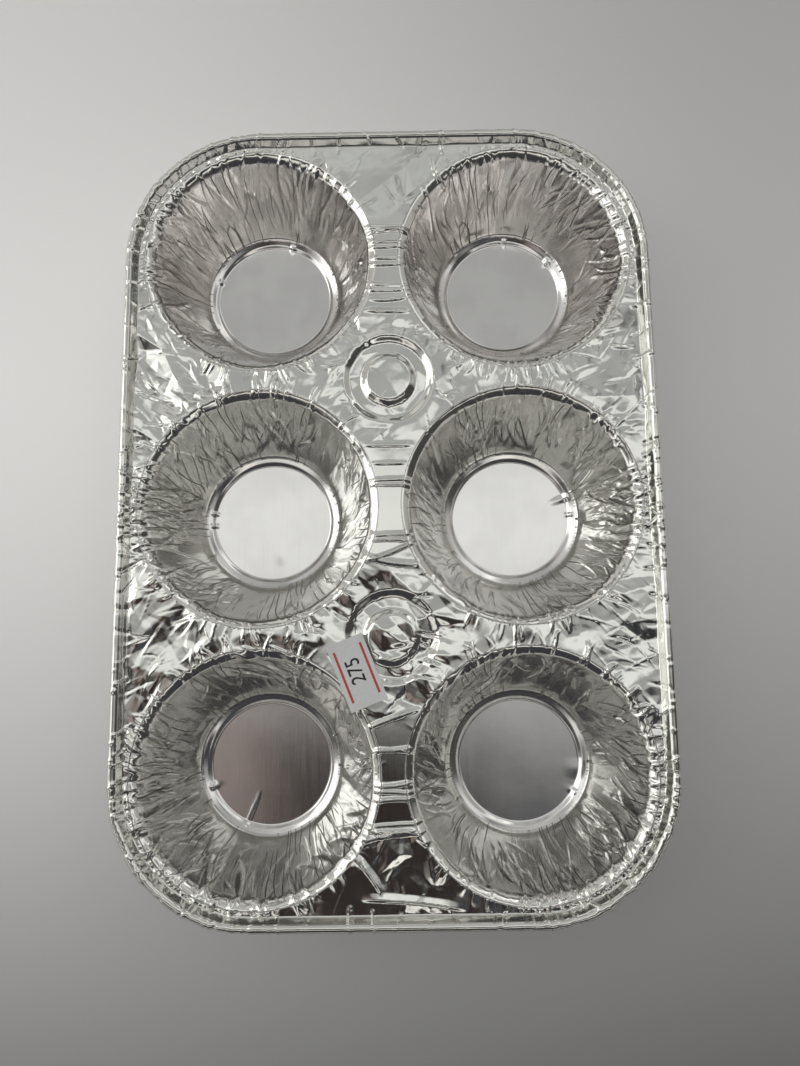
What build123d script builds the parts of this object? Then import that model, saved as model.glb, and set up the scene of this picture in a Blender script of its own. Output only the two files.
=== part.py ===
from build123d import *
from math import cos, radians, sin, sqrt, tan
import os

# Six-cup foil muffin tray, in millimetres.
# +X is the width, +Y runs from the front row of cups to the back row, +Z is up.
# The origin lies under the middle of the tray, on the surface that it rests on.
# The tray is one pressed sheet. Its zones are separate solids that meet face to face.

# Sheet
foil = 0.1

# Cups, each radius measured on the upper side of the sheet
mouth_radius = 35.8
lip_width = 2.2
lip_drop = 1.3
lip_land = 0.6
lip_bend = 0.8
foot_radius = 23.75
foot_bend = 0.9
ledge_height = 1.4
ledge_land = 0.9
panel_radius = 20.8
panel_slope = 1.0
panel_bend = 0.5

# Deck between the cups
deck_height = 32.0
web_across = 6.8
web_along = 5.9
edge_land = 1.0

# Step and rolled bead around the edge
step_land = 0.4
step_bend = 0.35
step_lean = 30
rim_rise = 3.0
bead_diameter = 3.0
bead_wrap = 310

# Pressed rosettes between four cups, from the outside in
rosette_radius = 15.1
rosette_land = 0.7
channel_slope = 2.2
channel_width = 3.8
channel_depth = 1.4
rosette_bend = 0.5

# Saddle panels between the two cups of a row
saddle_land = 9.0
rib_place_share = 0.6
rib_end_gap = 1.2
rib_width = 2.4
rib_height = 0.6
rib_taper = 45

# Paper price label, its middle measured from the middle of the front rosette
label_length = 21.5
label_width = 12.0
label_thickness = 0.1
label_corner = 0.6
label_shift_across = -10.9
label_shift_along = -10.65
label_turn = -68.4

# Places worked out from the sizes above
lip_radius = mouth_radius + lip_width
hole_radius = lip_radius + lip_land
pitch_across = 2 * hole_radius + web_across
pitch_along = 2 * hole_radius + web_along
deck_edge_radius = hole_radius + edge_land
bead_radius = bead_diameter / 2
bead_height = deck_height + rim_rise - bead_radius
bead_start = 180 - step_lean
step_top_height = bead_height + bead_radius * sin(radians(step_lean))
step_run = (step_top_height - deck_height) * tan(radians(step_lean))
step_foot_radius = deck_edge_radius + step_land
step_top_radius = step_foot_radius + step_run
bead_centre_radius = step_top_radius + bead_radius * cos(radians(step_lean))
corner_x = pitch_across / 2
corner_y = pitch_along
rosette_hole_radius = rosette_radius + rosette_land
saddle_half = pitch_along / 2 - rosette_hole_radius - saddle_land

columns = {"left": -1, "right": 1}
rows = {"front": -1, "middle": 0, "back": 1}


def sheet_section(points, radii):
    """Draws one foil thickness under a line of points given from the outside in."""
    with BuildLine() as outline:
        FilletPolyline(*points, radius=radii)
        offset(amount=foil, side=Side.LEFT)
    make_face(outline.edges())


def bead_section():
    """Draws the open curl of the rolled edge, from the top of the step round to the inside."""
    centre = (bead_centre_radius, bead_height)
    with BuildLine() as outline:
        outside = CenterArc(centre, bead_radius, bead_start, -bead_wrap)
        inside = CenterArc(centre, bead_radius - foil, bead_start, -bead_wrap)
        Line(outside @ 0, inside @ 0)
        Line(outside @ 1, inside @ 1)
    make_face(outline.edges())


def step_section():
    """Draws the sloping step between the deck and the rolled bead."""
    sheet_section(
        [(step_top_radius, step_top_height), (step_foot_radius, deck_height), (deck_edge_radius, deck_height)],
        [step_bend],
    )


def around_the_edge(draw_section):
    """Carries a section along two half sides and a corner, then mirrors it to the whole edge."""
    corner = Vector(corner_x, corner_y, 0)
    with BuildSketch(Plane(origin=corner, x_dir=(1, 0, 0), z_dir=(0, -1, 0))) as side:
        draw_section()
    extrude(side.sketch, amount=corner_y)
    revolve(side.sketch, axis=Axis(corner, (0, 0, 1)), revolution_arc=90)
    with BuildSketch(Plane(origin=corner, x_dir=(0, 1, 0), z_dir=(1, 0, 0))) as end:
        draw_section()
    extrude(end.sketch, amount=-corner_x)
    mirror(about=Plane.XZ)
    mirror(about=Plane.YZ)


def neck_at(distance):
    """Gives the deck's width between two cups of a row, this far from the row's middle."""
    return pitch_across - 2 * sqrt(hole_radius**2 - distance**2)


def finish(piece, name):
    """Labels one solid piece and writes it as its own file."""
    piece.part.label = name
    export_step(piece.part, f"parts/{name}.step")


os.makedirs("parts", exist_ok=True)

# Rolled bead
with BuildPart() as rolled_rim:
    around_the_edge(bead_section)
finish(rolled_rim, "rolled_rim")

# Sloping step inside the bead
with BuildPart() as rim_step:
    around_the_edge(step_section)
finish(rim_step, "rim_step")

# Flat deck with its openings for the cups, rosettes and saddle panels
with BuildPart() as deck:
    with BuildSketch(Plane.XY.offset(deck_height - foil)):
        RectangleRounded(
            2 * (corner_x + deck_edge_radius),
            2 * (corner_y + deck_edge_radius),
            deck_edge_radius,
        )
        with GridLocations(pitch_across, pitch_along, len(columns), len(rows)):
            Circle(hole_radius, mode=Mode.SUBTRACT)
        with GridLocations(0, pitch_along, 1, len(rows) - 1):
            Circle(rosette_hole_radius, mode=Mode.SUBTRACT)
        with GridLocations(0, pitch_along, 1, len(rows)):
            Rectangle(pitch_across, 2 * saddle_half, mode=Mode.SUBTRACT)
    extrude(amount=foil)
finish(deck, "deck")

# Cup walls with their rounded lips, and cup floors with their sunk panels
ledge_radius = foot_radius - ledge_land
panel_top_radius = panel_radius + panel_slope
wall_line = [
    (hole_radius, deck_height),
    (lip_radius, deck_height),
    (mouth_radius, deck_height - lip_drop),
    (foot_radius, ledge_height),
    (ledge_radius, ledge_height),
]
floor_line = [
    (ledge_radius, ledge_height),
    (panel_top_radius, ledge_height),
    (panel_radius, foil),
    (0, foil),
]
for row, row_step in rows.items():
    for column, side_step in columns.items():
        centre = Vector(side_step * corner_x, row_step * pitch_along, 0)
        cup_section = Plane(origin=centre, x_dir=(1, 0, 0), z_dir=(0, -1, 0))

        with BuildPart() as cup_wall:
            with BuildSketch(cup_section):
                sheet_section(wall_line, [lip_bend, lip_bend, foot_bend])
            revolve(axis=Axis(centre, (0, 0, 1)))
        finish(cup_wall, f"cup_wall_{row}_{column}")

        with BuildPart() as cup_floor:
            with BuildSketch(cup_section):
                sheet_section(floor_line, [panel_bend, panel_bend])
            revolve(axis=Axis(centre, (0, 0, 1)))
        finish(cup_floor, f"cup_floor_{row}_{column}")

# Rosettes, each a round channel pressed down about a flat middle
channel_outer_radius = rosette_radius - channel_slope
channel_inner_radius = channel_outer_radius - channel_width
rosette_line = [
    (rosette_hole_radius, deck_height),
    (rosette_radius, deck_height),
    (channel_outer_radius, deck_height - channel_depth),
    (channel_inner_radius, deck_height - channel_depth),
    (channel_inner_radius - channel_slope, deck_height),
    (0, deck_height),
]
for row, side_step in {"front": -1, "back": 1}.items():
    centre = Vector(0, side_step * pitch_along / 2, 0)
    with BuildPart() as rosette:
        with BuildSketch(Plane(origin=centre, x_dir=(1, 0, 0), z_dir=(0, -1, 0))):
            sheet_section(rosette_line, [rosette_bend] * (len(rosette_line) - 2))
        revolve(axis=Axis(centre, (0, 0, 1)))
    finish(rosette, f"rosette_{row}")

# Saddle panels, each with two raised ribs across it
rib_distance = rib_place_share * saddle_half
rib_length = neck_at(rib_distance) - 2 * rib_end_gap
for row, row_step in rows.items():
    middle = Vector(0, row_step * pitch_along, deck_height)
    with BuildPart() as saddle:
        with BuildSketch(Plane(middle - Vector(0, 0, foil))):
            Rectangle(pitch_across, 2 * saddle_half)
            with GridLocations(pitch_across, 0, len(columns), 1):
                Circle(hole_radius, mode=Mode.SUBTRACT)
        extrude(amount=foil)
        with BuildSketch(Plane(middle)) as ribs:
            with GridLocations(0, 2 * rib_distance, 1, 2):
                SlotOverall(rib_length, rib_width)
        extrude(amount=rib_height, taper=rib_taper)
        with BuildSketch(Plane(middle - Vector(0, 0, foil))) as hollows:
            with GridLocations(0, 2 * rib_distance, 1, 2):
                SlotOverall(rib_length, rib_width)
        extrude(amount=rib_height, taper=rib_taper, mode=Mode.SUBTRACT)
    finish(saddle, f"saddle_panel_{row}")

# Paper label, stuck on the deck and over the front rosette
label_middle = Vector(label_shift_across, label_shift_along - pitch_along / 2, deck_height)
with BuildPart() as price_label:
    with BuildSketch(Plane(label_middle).rotated((0, 0, label_turn))):
        RectangleRounded(label_length, label_width, label_corner)
    extrude(amount=label_thickness)
finish(price_label, "price_label")
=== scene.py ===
import functools
import math

import bpy
import numpy as np
from bpy.props import (
    FloatProperty,
    FloatVectorProperty,
    IntProperty,
    PointerProperty,
    StringProperty,
)
from mathutils import Euler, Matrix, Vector
from mathutils.geometry import delaunay_2d_cdt


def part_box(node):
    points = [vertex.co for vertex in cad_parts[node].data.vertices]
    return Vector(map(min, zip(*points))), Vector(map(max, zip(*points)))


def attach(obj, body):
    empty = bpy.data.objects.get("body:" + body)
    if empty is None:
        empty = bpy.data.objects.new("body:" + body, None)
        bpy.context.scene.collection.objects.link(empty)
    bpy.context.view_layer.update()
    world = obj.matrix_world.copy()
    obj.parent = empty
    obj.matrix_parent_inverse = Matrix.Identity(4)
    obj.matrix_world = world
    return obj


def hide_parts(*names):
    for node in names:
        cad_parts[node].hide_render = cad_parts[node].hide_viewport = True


bl_info = {
    "name": "Foil Muffin Tray",
    "version": (1, 0, 0),
    "blender": (4, 5, 0),
    "location": "View3D > Sidebar > Muffin Tray",
    "description": "Dresses the six-cup foil muffin tray: creased sheet, rolled rim, cup floors and price label",
    "category": "Add Mesh",
}

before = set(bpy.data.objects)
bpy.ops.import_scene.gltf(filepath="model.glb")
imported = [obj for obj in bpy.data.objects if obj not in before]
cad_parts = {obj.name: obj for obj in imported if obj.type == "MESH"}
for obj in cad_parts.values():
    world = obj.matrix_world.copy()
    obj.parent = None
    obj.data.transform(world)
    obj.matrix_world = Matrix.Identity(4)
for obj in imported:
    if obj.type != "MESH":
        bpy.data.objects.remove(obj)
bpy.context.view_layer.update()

# Lengths below are in millimetres, and go into Blender in metres
MM = 0.001


def node_box(name):
    """Gives a CAD piece's lowest and highest corner in millimetres."""
    low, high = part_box(name)
    return np.array(low) / MM, np.array(high) / MM


# Places read from the frame
ROWS = {"front": -1, "middle": 0, "back": 1}
COLUMNS = {"left": -1, "right": 1}
WALL_LOW, WALL_HIGH = node_box("cup_wall_back_right")
FLOOR_LOW, FLOOR_HIGH = node_box("cup_floor_back_right")
DECK_HIGH = node_box("deck")[1]
BEAD_LOW, BEAD_HIGH = node_box("rolled_rim")
SADDLE_HIGH = node_box("saddle_panel_middle")[1]
ROSETTE_LOW, ROSETTE_HIGH = node_box("rosette_back")
LABEL_LOW, LABEL_HIGH = node_box("price_label")
CUP_X, CUP_Y = (WALL_LOW[:2] + WALL_HIGH[:2]) / 2
HOLE_RADIUS = (WALL_HIGH[0] - WALL_LOW[0]) / 2
LEDGE_RADIUS = (FLOOR_HIGH[0] - FLOOR_LOW[0]) / 2
LEDGE_HEIGHT = FLOOR_HIGH[2]
DECK_HEIGHT = DECK_HIGH[2]
DECK_EDGE = DECK_HIGH[0] - CUP_X
BEAD_RADIUS = (BEAD_HIGH[2] - BEAD_LOW[2]) / 2
BEAD_CENTRE = BEAD_HIGH[0] - CUP_X - BEAD_RADIUS
BEAD_HEIGHT = BEAD_HIGH[2] - BEAD_RADIUS
SADDLE_HALF = SADDLE_HIGH[1]
ROSETTE_Y = (ROSETTE_LOW[1] + ROSETTE_HIGH[1]) / 2
ROSETTE_HOLE = (ROSETTE_HIGH[0] - ROSETTE_LOW[0]) / 2
LABEL_MIDDLE = (LABEL_LOW + LABEL_HIGH) / 2

# Sizes of the pressing that the frame doesn't say
MOUTH_RADIUS = 35.8
LIP_RADIUS = 38.0
LIP_DROP = 1.3
CRISP_LIP_BENDS = (2.4, 1.6)
SOFT_LIP_BENDS = (2.0, 5.2)
FOOT_RADIUS = 23.75
FOOT_BEND = 1.2
STEP_LAND = 0.4
STEP_BEND = 0.35
BEAD_START = math.radians(150)
BEAD_WRAP = math.radians(310)
PANEL_RADIUS = 20.3
PANEL_CURL = 1.4
PANEL_BEND = 1.0
RING_PLACE = (21.5, 0.85)
RING_BEND = 3.0
FOOT_STEP = (0.2, 0.5)
ROSETTE_RADIUS = 15.1
CHANNEL_SLOPE = 3.0
CHANNEL_WIDTH = 2.6
CHANNEL_DEPTH = 1.25
LABEL_LENGTH = 21.5
LABEL_WIDTH = 12.0
LABEL_TURN = math.radians(-68.4)

# Edges of the floors, the bead and the label that turn by more than this are shaded as corners
SHARP_ANGLE = math.radians(50)
# Roughness of the sheet at the cups' lips, as on the deck
LIP_ROUGHNESS = 0.1

# How finely the sheet is modelled
CUP_SEGMENTS = 540
WALL_ROWS = 78
EDGE_SPACING = 0.48
STEP_ROWS = 8
BEAD_ROWS = 22
PANEL_ROWS = 10
RING_ROWS = 17
DECK_SPACING = 0.37


# Settings that several properties share
FACTOR = {"min": 0, "subtype": "FACTOR"}
COLOUR = {"size": 3, "min": 0, "max": 1, "subtype": "COLOR"}


class MuffinTrayFoil(bpy.types.PropertyGroup):
    """Sizes of the foil sheet and of its creases."""

    thickness: FloatProperty(
        name="Foil thickness",
        description="Thickness of the pressed sheet",
        default=0.1 * MM,
        unit="LENGTH",
        precision=5,
    )
    crease: FloatProperty(
        name="Deck creases", description="Height of the creases on the deck", default=1.0, max=3, **FACTOR
    )
    pleat: FloatProperty(
        name="Wall pleats", description="Depth of the pleats on the cup walls", default=1.0, max=3, **FACTOR
    )
    crimp: FloatProperty(
        name="Rim crimps", description="Depth of the crimps across the rolled rim", default=1.0, max=3, **FACTOR
    )
    seed: IntProperty(name="Seed", description="Draws another set of creases", default=7, min=0)
    colour: FloatVectorProperty(
        name="Foil colour", description="Colour of the bare aluminium", default=(0.843, 0.855, 0.797), **COLOUR
    )


class MuffinTrayLabel(bpy.types.PropertyGroup):
    """Looks of the price label."""

    number: StringProperty(name="Number", description="Plain number on the label", default="275")
    paper: FloatVectorProperty(
        name="Paper colour", description="Colour of the label's paper", default=(0.93, 0.945, 0.93), **COLOUR
    )
    line: FloatVectorProperty(
        name="Line colour", description="Colour of the label's printed lines", default=(0.7, 0.1, 0.09), **COLOUR
    )


class MuffinTrayStage(bpy.types.PropertyGroup):
    """Floor and lights."""

    lamp: FloatProperty(
        name="Lamp level", description="Strength of the studio lamps", default=1.0, max=4, **FACTOR
    )
    room: FloatProperty(
        name="Room level", description="Strength of the light from the room", default=1.0, max=4, **FACTOR
    )


def smooth(value, low, high):
    """Rises smoothly from 0 at low to 1 at high."""
    t = np.clip((value - low) / (high - low), 0, 1)
    return t * t * (3 - 2 * t)


def rows_away(y):
    """Distance along the tray from the nearest row of cups."""
    return np.abs(y - np.clip(np.round(y / CUP_Y), -1, 1) * CUP_Y)


def near_cup(x, y, radius):
    """Tells which plan places lie within a radius of a cup's centre."""
    return np.hypot(np.abs(x) - CUP_X, rows_away(y)) < radius


def inside_outline(x, y, radius):
    """Tells which plan places lie inside the tray's outline of that corner radius."""
    over_x, over_y = np.maximum(np.abs(x) - CUP_X, 0), np.maximum(np.abs(y) - CUP_Y, 0)
    return np.hypot(over_x, over_y) < radius


# Creases


# Direction, in degrees, of the back of a cup, where its lip stays smooth
CUP_BACK = 95


def turn_gap(turn, middle):
    """Degrees between two directions about a cup."""
    return np.abs((turn - middle + 180) % 360 - 180)


def inner_side(column):
    """Direction, in degrees, from a cup to the narrow panel beside it."""
    return 180 if column == "right" else 0


class Facets:
    """Random heights joined by flat triangles, on a grid that is quick to sample."""

    GRID_STEP = 0.33

    def __init__(self, rng, width, height, cell_width, cell_height, closed=False):
        self.columns = max(3, round(width / cell_width))
        self.rows = max(2, math.ceil(height / cell_height))
        self.cell = np.array([width / self.columns, cell_height])
        self.steps = np.ceil(self.cell / self.GRID_STEP).astype(int)
        self.closed = closed
        margin = 2
        across = np.arange(-margin, self.columns + margin)
        up = np.arange(-margin, self.rows + margin)
        draw = rng.normal(0, 1, (3, len(up), len(across)))
        if closed:
            draw = draw[:, :, across % self.columns]
        shift = np.clip(draw[:2] * 0.3, -0.48, 0.48)
        x = (across[None, :] + 0.5 + shift[0]).ravel()
        y = (up[:, None] + 0.5 + shift[1]).ravel()
        triangles = delaunay_2d_cdt([Vector(p) for p in zip(x, y)], [], [], 0, 1e-6, False)[2]
        self.grid = self.fill(np.stack([x, y], 1), draw[2].ravel(), np.array(triangles))

    def fill(self, points, heights, triangles):
        """Fills the grid of samples from the triangles."""
        size = np.array([self.columns, self.rows]) * self.steps + 1
        grid = np.zeros((size[1], size[0]))
        corners = points[triangles] * self.steps
        low = np.floor(corners.min(1))
        span = corners.max(1) - low
        chosen = np.flatnonzero((span < 5 * self.steps).all(1))
        window = span[chosen].max(0).astype(int) + 2
        step_y, step_x = [a.ravel() for a in np.mgrid[0 : window[1], 0 : window[0]]]
        for pick in np.array_split(chosen, 1 + len(chosen) * window.prod() // 3_000_000):
            px = low[pick, 0, None] + step_x
            py = low[pick, 1, None] + step_y
            (ax, ay), (bx, by), (cx, cy) = (corners[pick, i].T[:, :, None] for i in range(3))
            area = (bx - ax) * (cy - ay) - (cx - ax) * (by - ay)
            area = np.where(np.abs(area) < 1e-9, 1e-9, area)
            second = ((px - ax) * (cy - ay) - (cx - ax) * (py - ay)) / area
            third = ((bx - ax) * (py - ay) - (px - ax) * (by - ay)) / area
            inside = (second >= -1e-6) & (third >= -1e-6) & (second + third <= 1 + 1e-6)
            inside &= (px >= 0) & (py >= 0) & (px < size[0]) & (py < size[1])
            h = heights[triangles[pick]][:, :, None]
            values = h[:, 0] * (1 - second - third) + h[:, 1] * second + h[:, 2] * third
            grid[py[inside].astype(int), px[inside].astype(int)] = values[inside]
        return grid

    def at(self, across, up):
        """Samples the heights at places in millimetres."""
        x, y = across / self.cell[0], up / self.cell[1]
        x = x % self.columns if self.closed else np.clip(x, 0, self.columns - 1e-6)
        y = np.clip(y, 0, self.rows - 1e-6)
        x, y = x * self.steps[0], y * self.steps[1]
        column, row = x.astype(int), y.astype(int)
        fx, fy = x - column, y - row
        g = self.grid
        below = g[row, column] * (1 - fx) + g[row, column + 1] * fx
        above = g[row + 1, column] * (1 - fx) + g[row + 1, column + 1] * fx
        return below * (1 - fy) + above * fy


class Fold:
    """One crease: a ridge that is steep on one side, gentle on the other and runs out at both ends."""

    def __init__(self, start, length, angle, steep, gentle, height, bend=0.0, ends=0.3):
        self.start, self.length = np.array(start, float), length
        self.along = np.array([math.cos(angle), math.sin(angle)])
        self.steep, self.gentle, self.height = steep, gentle, height
        self.bend, self.ends = bend, ends
        self.middle = self.start + self.along * length / 2
        self.reach = length / 2 + max(steep, gentle) + abs(bend)

    def at(self, x, y):
        """Height at plan places."""
        dx, dy = x - self.start[0], y - self.start[1]
        t = (dx * self.along[0] + dy * self.along[1]) / self.length
        side = dy * self.along[0] - dx * self.along[1]
        side = side - self.bend * 4 * t * (1 - t)
        rise = np.where(side < 0, 1 + side / self.steep, 1 - side / self.gentle)
        fade = np.clip(np.minimum(t, 1 - t) / self.ends, 0, 1)
        return self.height * np.clip(rise, 0, 1) * fade


class Crumple:
    """A patch of the deck pressed into flat facets that mostly run one way."""

    def __init__(self, rng, middle, half, turn, cell, height):
        self.middle, self.half, self.height = middle, half, height
        self.cos, self.sin = math.cos(math.radians(turn)), math.sin(math.radians(turn))
        self.size = 2 * math.hypot(*half) + 8
        self.coarse = Facets(rng, self.size, self.size, *cell)
        self.fine = Facets(rng, self.size, self.size, cell[0] / 2.4, cell[1] / 2.4)

    def at(self, x, y):
        """Height at plan places."""
        total = np.zeros(x.shape)
        dx, dy = x - self.middle[0], y - self.middle[1]
        close = (np.abs(dx) < self.half[0] + 3) & (np.abs(dy) < self.half[1] + 3)
        dx, dy = dx[close], dy[close]
        mask = 1 - smooth(np.abs(dx), self.half[0] - 4, self.half[0] + 3)
        mask = mask * (1 - smooth(np.abs(dy), self.half[1] - 4, self.half[1] + 3))
        along = dx * self.cos + dy * self.sin + self.size / 2
        across = dy * self.cos - dx * self.sin + self.size / 2
        total[close] = self.height * mask * (self.coarse.at(along, across) + 0.14 * self.fine.at(along, across))
        return total


def fold_sum(folds, x, y, around=None):
    """Adds up the folds' heights; around is the length after which x comes round again."""
    total = np.zeros(x.shape)
    for fold in folds:
        away = x - fold.middle[0]
        if around:
            away = (away + around / 2) % around - around / 2
        close = (np.abs(away) < fold.reach) & (np.abs(y - fold.middle[1]) < fold.reach)
        if close.any():
            total[close] += fold.at(away[close] + fold.middle[0], y[close])
    return total


class EdgePath:
    """The tray's rounded outline, as a centre line about which the step and the bead are drawn."""

    def __init__(self):
        corner = math.pi / 2 * DECK_EDGE
        sides = [
            ((CUP_X, -CUP_Y), 0, 2 * CUP_Y, 0),
            ((CUP_X, CUP_Y), 0, corner, 1),
            ((CUP_X, CUP_Y), 90, 2 * CUP_X, 0),
            ((-CUP_X, CUP_Y), 90, corner, 1),
            ((-CUP_X, CUP_Y), 180, 2 * CUP_Y, 0),
            ((-CUP_X, -CUP_Y), 180, corner, 1),
            ((-CUP_X, -CUP_Y), 270, 2 * CUP_X, 0),
            ((CUP_X, -CUP_Y), 270, corner, 1),
        ]
        centres, normals, run, turn = [], [], [], []
        start = 0
        for origin, angle, length, is_corner in sides:
            count = round(length / EDGE_SPACING)
            t = np.arange(count) / count
            phi = math.radians(angle) + t * math.pi / 2 * is_corner
            along = np.array([-math.sin(math.radians(angle)), math.cos(math.radians(angle))])
            centres.append(np.array(origin) + t[:, None] * length * (1 - is_corner) * along)
            normals.append(np.stack([np.cos(phi), np.sin(phi)], 1))
            run.append(start + t * length)
            turn.append(np.full(count, float(is_corner)))
            start += length
        self.centres, self.normals = np.concatenate(centres), np.concatenate(normals)
        self.run, self.turn, self.length = np.concatenate(run), np.concatenate(turn), start
        self.count = len(self.run)

    def at(self, radius):
        """Gives the outline's points this far from the corner cups' centres."""
        return self.centres + radius * self.normals

    def nearest(self, x, y):
        """Finds, for plan places, the nearest outline point and how far outside the deck's edge they lie."""
        outline = self.at(DECK_EDGE)
        over_x, over_y = np.maximum(np.abs(x) - CUP_X, 0), np.maximum(np.abs(y) - CUP_Y, 0)
        inner = np.maximum(np.abs(x) - CUP_X, np.abs(y) - CUP_Y)
        away = np.where(inner > 0, np.hypot(over_x, over_y), inner) - DECK_EDGE
        place = np.zeros(len(x), int)
        for part in np.array_split(np.arange(len(x)), 1 + len(x) // 2000):
            gaps = (outline[None, :, 0] - x[part, None]) ** 2 + (outline[None, :, 1] - y[part, None]) ** 2
            place[part] = gaps.argmin(1)
        return place, away


# Facets all over the deck: their widths and lengths, and their heights
DECK_CELLS = ((9, 11), (2.6, 3.2))
DECK_SOFT, DECK_FINE = 0.16, 0.04
# Where the deck is pressed into facets: middle, half size, direction in degrees, facet length and width, height
CRUMPLES = [
    ((-68, 43), (15, 23), -40, (17, 7.5), 0.85),
    ((-68, -42), (15, 25), 38, (19, 9.0), 0.36),
    ((68, 43), (15, 23), 50, (14, 10.5), 0.50),
    ((68, -42), (15, 25), 12, (17, 8.0), 0.32),
    ((0, 42), (27, 22), 60, (9, 6.0), 0.38),
    ((-2, -41), (28, 23), -30, (9, 5.5), 0.55),
    ((0, 112), (24, 13), 75, (14, 9.0), 0.16),
    ((0, -112), (24, 13), 62, (12, 8.5), 0.17),
    ((-42, 42), (24, 9), 90, (18, 7.0), 0.27),
    ((42, 42), (24, 9), 90, (18, 7.0), 0.24),
    ((-42, -42), (24, 9), 90, (18, 7.0), 0.26),
    ((42, -42), (24, 9), 90, (18, 7.0), 0.26),
]
# Where the deck has single folds besides: middle, half size, number, widths, heights, lengths, direction and its spread
FOLD_PATCHES = [
    ((-70, 43), (11, 20), 11, (0.7, 2.5), (0.1, 0.34), (8, 20), -38, 28),
    ((-70, -42), (11, 22), 11, (0.7, 2.8), (0.1, 0.36), (8, 20), 38, 30),
    ((70, 43), (11, 20), 11, (0.7, 2.5), (0.1, 0.34), (8, 20), 35, 40),
    ((70, -42), (11, 22), 11, (0.7, 2.5), (0.1, 0.34), (8, 20), -32, 24),
    ((0, 42), (24, 20), 16, (0.6, 1.8), (0.1, 0.3), (5, 11), 60, 90),
    ((0, -42), (25, 21), 26, (0.6, 2.0), (0.15, 0.4), (5, 12), 60, 90),
    ((0, 112), (20, 12), 7, (0.9, 2.5), (0.1, 0.25), (7, 16), 75, 50),
    ((0, -112), (20, 12), 9, (0.9, 3.0), (0.05, 0.16), (8, 18), 30, 80),
    ((-70, 43), (12, 23), 26, (0.4, 0.8), (0.07, 0.2), (5, 16), -40, 45),
    ((-70, -42), (12, 25), 28, (0.4, 0.8), (0.05, 0.14), (5, 16), 40, 45),
    ((70, 43), (12, 23), 26, (0.4, 0.8), (0.07, 0.2), (5, 16), 40, 60),
    ((70, -42), (12, 25), 28, (0.4, 0.8), (0.05, 0.14), (5, 16), -25, 50),
    ((0, 42), (26, 22), 24, (0.4, 0.7), (0.06, 0.18), (4, 12), 60, 90),
    ((0, 112), (20, 12), 8, (0.4, 0.8), (0.05, 0.14), (6, 16), 80, 50),
    ((0, -112), (20, 12), 14, (0.4, 0.8), (0.02, 0.05), (6, 18), 30, 90),
]
# How much larger than their table says the folds of the middle and back narrow panels are
SADDLE_GROWTH = 1.25
# Folds across the three narrow panels between the cups of a row: along the tray, from left to right, height, lean
SADDLE_FOLDS = [
    (19.3, -8, 8, 0.30, 0.0),
    (13.4, -6, 6, 0.22, 0.0),
    (8.0, -9, 9, 0.28, 0.02),
    (6.9, -9, 9, 0.25, -0.03),
    (-10.2, -9, 10, 0.30, 0.03),
    (-11.8, -8, 9, 0.30, -0.04),
    (-14.6, -9, 8, 0.55, 0.38),
    (-17.6, -9, 9, 0.50, -0.18),
    (64.5, -8, 8, 0.30, -0.06),
    (69.2, -7, 8, 0.28, 0.05),
    (71.6, -8, 7, 0.32, 0.0),
    (73.8, -7, 7, 0.24, -0.08),
    (81.2, -8, 8, 0.30, 0.03),
    (82.9, -8, 8, 0.28, -0.04),
    (87.4, -8, 8, 0.30, 0.04),
    (89.3, -9, 9, 0.34, -0.05),
    (91.6, -9, 9, 0.38, 0.06),
    (94.0, -9, 9, 0.40, -0.04),
    (-66.5, -9, 9, 0.55, 0.35),
    (-74.6, -9, 9, 0.36, 0.07),
    (-76.0, -8, 8, 0.30, -0.05),
    (-85.3, -8, 8, 0.34, 0.1),
    (-88.4, -9, 8, 0.34, -0.06),
    (-91.0, -8, 9, 0.36, 0.03),
    (-97.6, -9, 10, 0.42, 0.05),
    (-99.8, -9, 10, 0.40, -0.05),
    (-124.2, -10, 24, 0.55, -0.07),
    (-105.0, -14, -3, 0.5, -1.0),
]
# The larger folds of the triangle in front: start, length, direction in degrees, steep and gentle widths, height
TRIANGLE_FOLDS = [
    ((-14.0, -104.6), 16.7, -52, 0.5, 1.8, 0.4),
    ((-10.5, -118.5), 32.0, -6, 0.6, 2.0, 0.45),
    ((-13.0, -103.0), 19.0, 8, 0.5, 1.6, 0.35),
    ((6.0, -101.0), 22.0, -40, 0.5, 1.6, 0.4),
    ((-4.0, -101.5), 12.0, 12, 0.5, 1.2, 0.3),
    ((3.8, -108.6), 11.0, 215, 2.5, 4.0, -0.15),
    ((3.8, -108.6), 12.0, 315, 3.0, 4.0, -0.15),
    ((3.8, -108.6), 8.0, 95, 2.5, 3.5, -0.12),
]
# Where a cup's wall is crumpled: direction from the cup's middle and its spread, both in degrees, how many folds, and
# how far they lean from straight down the wall
CUP_CLUSTERS = {
    ("back", "left"): [(145, 45, 14, -0.2), (82, 14, 9, -0.3), (355, 45, 26, -0.9), (235, 60, 14, 0.5)],
    ("back", "right"): [(40, 45, 18, 0.5), (105, 22, 12, 0.2), (190, 45, 22, 0.8), (300, 50, 12, -0.4)],
    ("middle", "left"): [
        (180, 22, 34, 0.0), (140, 35, 22, 0.5), (92, 18, 12, -0.3), (10, 50, 24, -0.8), (230, 40, 16, 0.7)
    ],
    ("middle", "right"): [
        (0, 24, 38, 0.0), (45, 40, 22, -0.5), (105, 25, 12, 0.3), (180, 45, 14, 0.6), (300, 40, 14, -0.6)
    ],
    ("front", "left"): [(180, 50, 34, 0.1), (75, 30, 20, -1.2), (10, 50, 30, -0.8), (225, 30, 14, 0.5)],
    ("front", "right"): [
        (140, 60, 48, 1.2), (195, 40, 20, 0.5), (20, 35, 20, 0.7), (318, 26, 30, -0.1), (262, 30, 9, -0.6)
    ],
}
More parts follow.
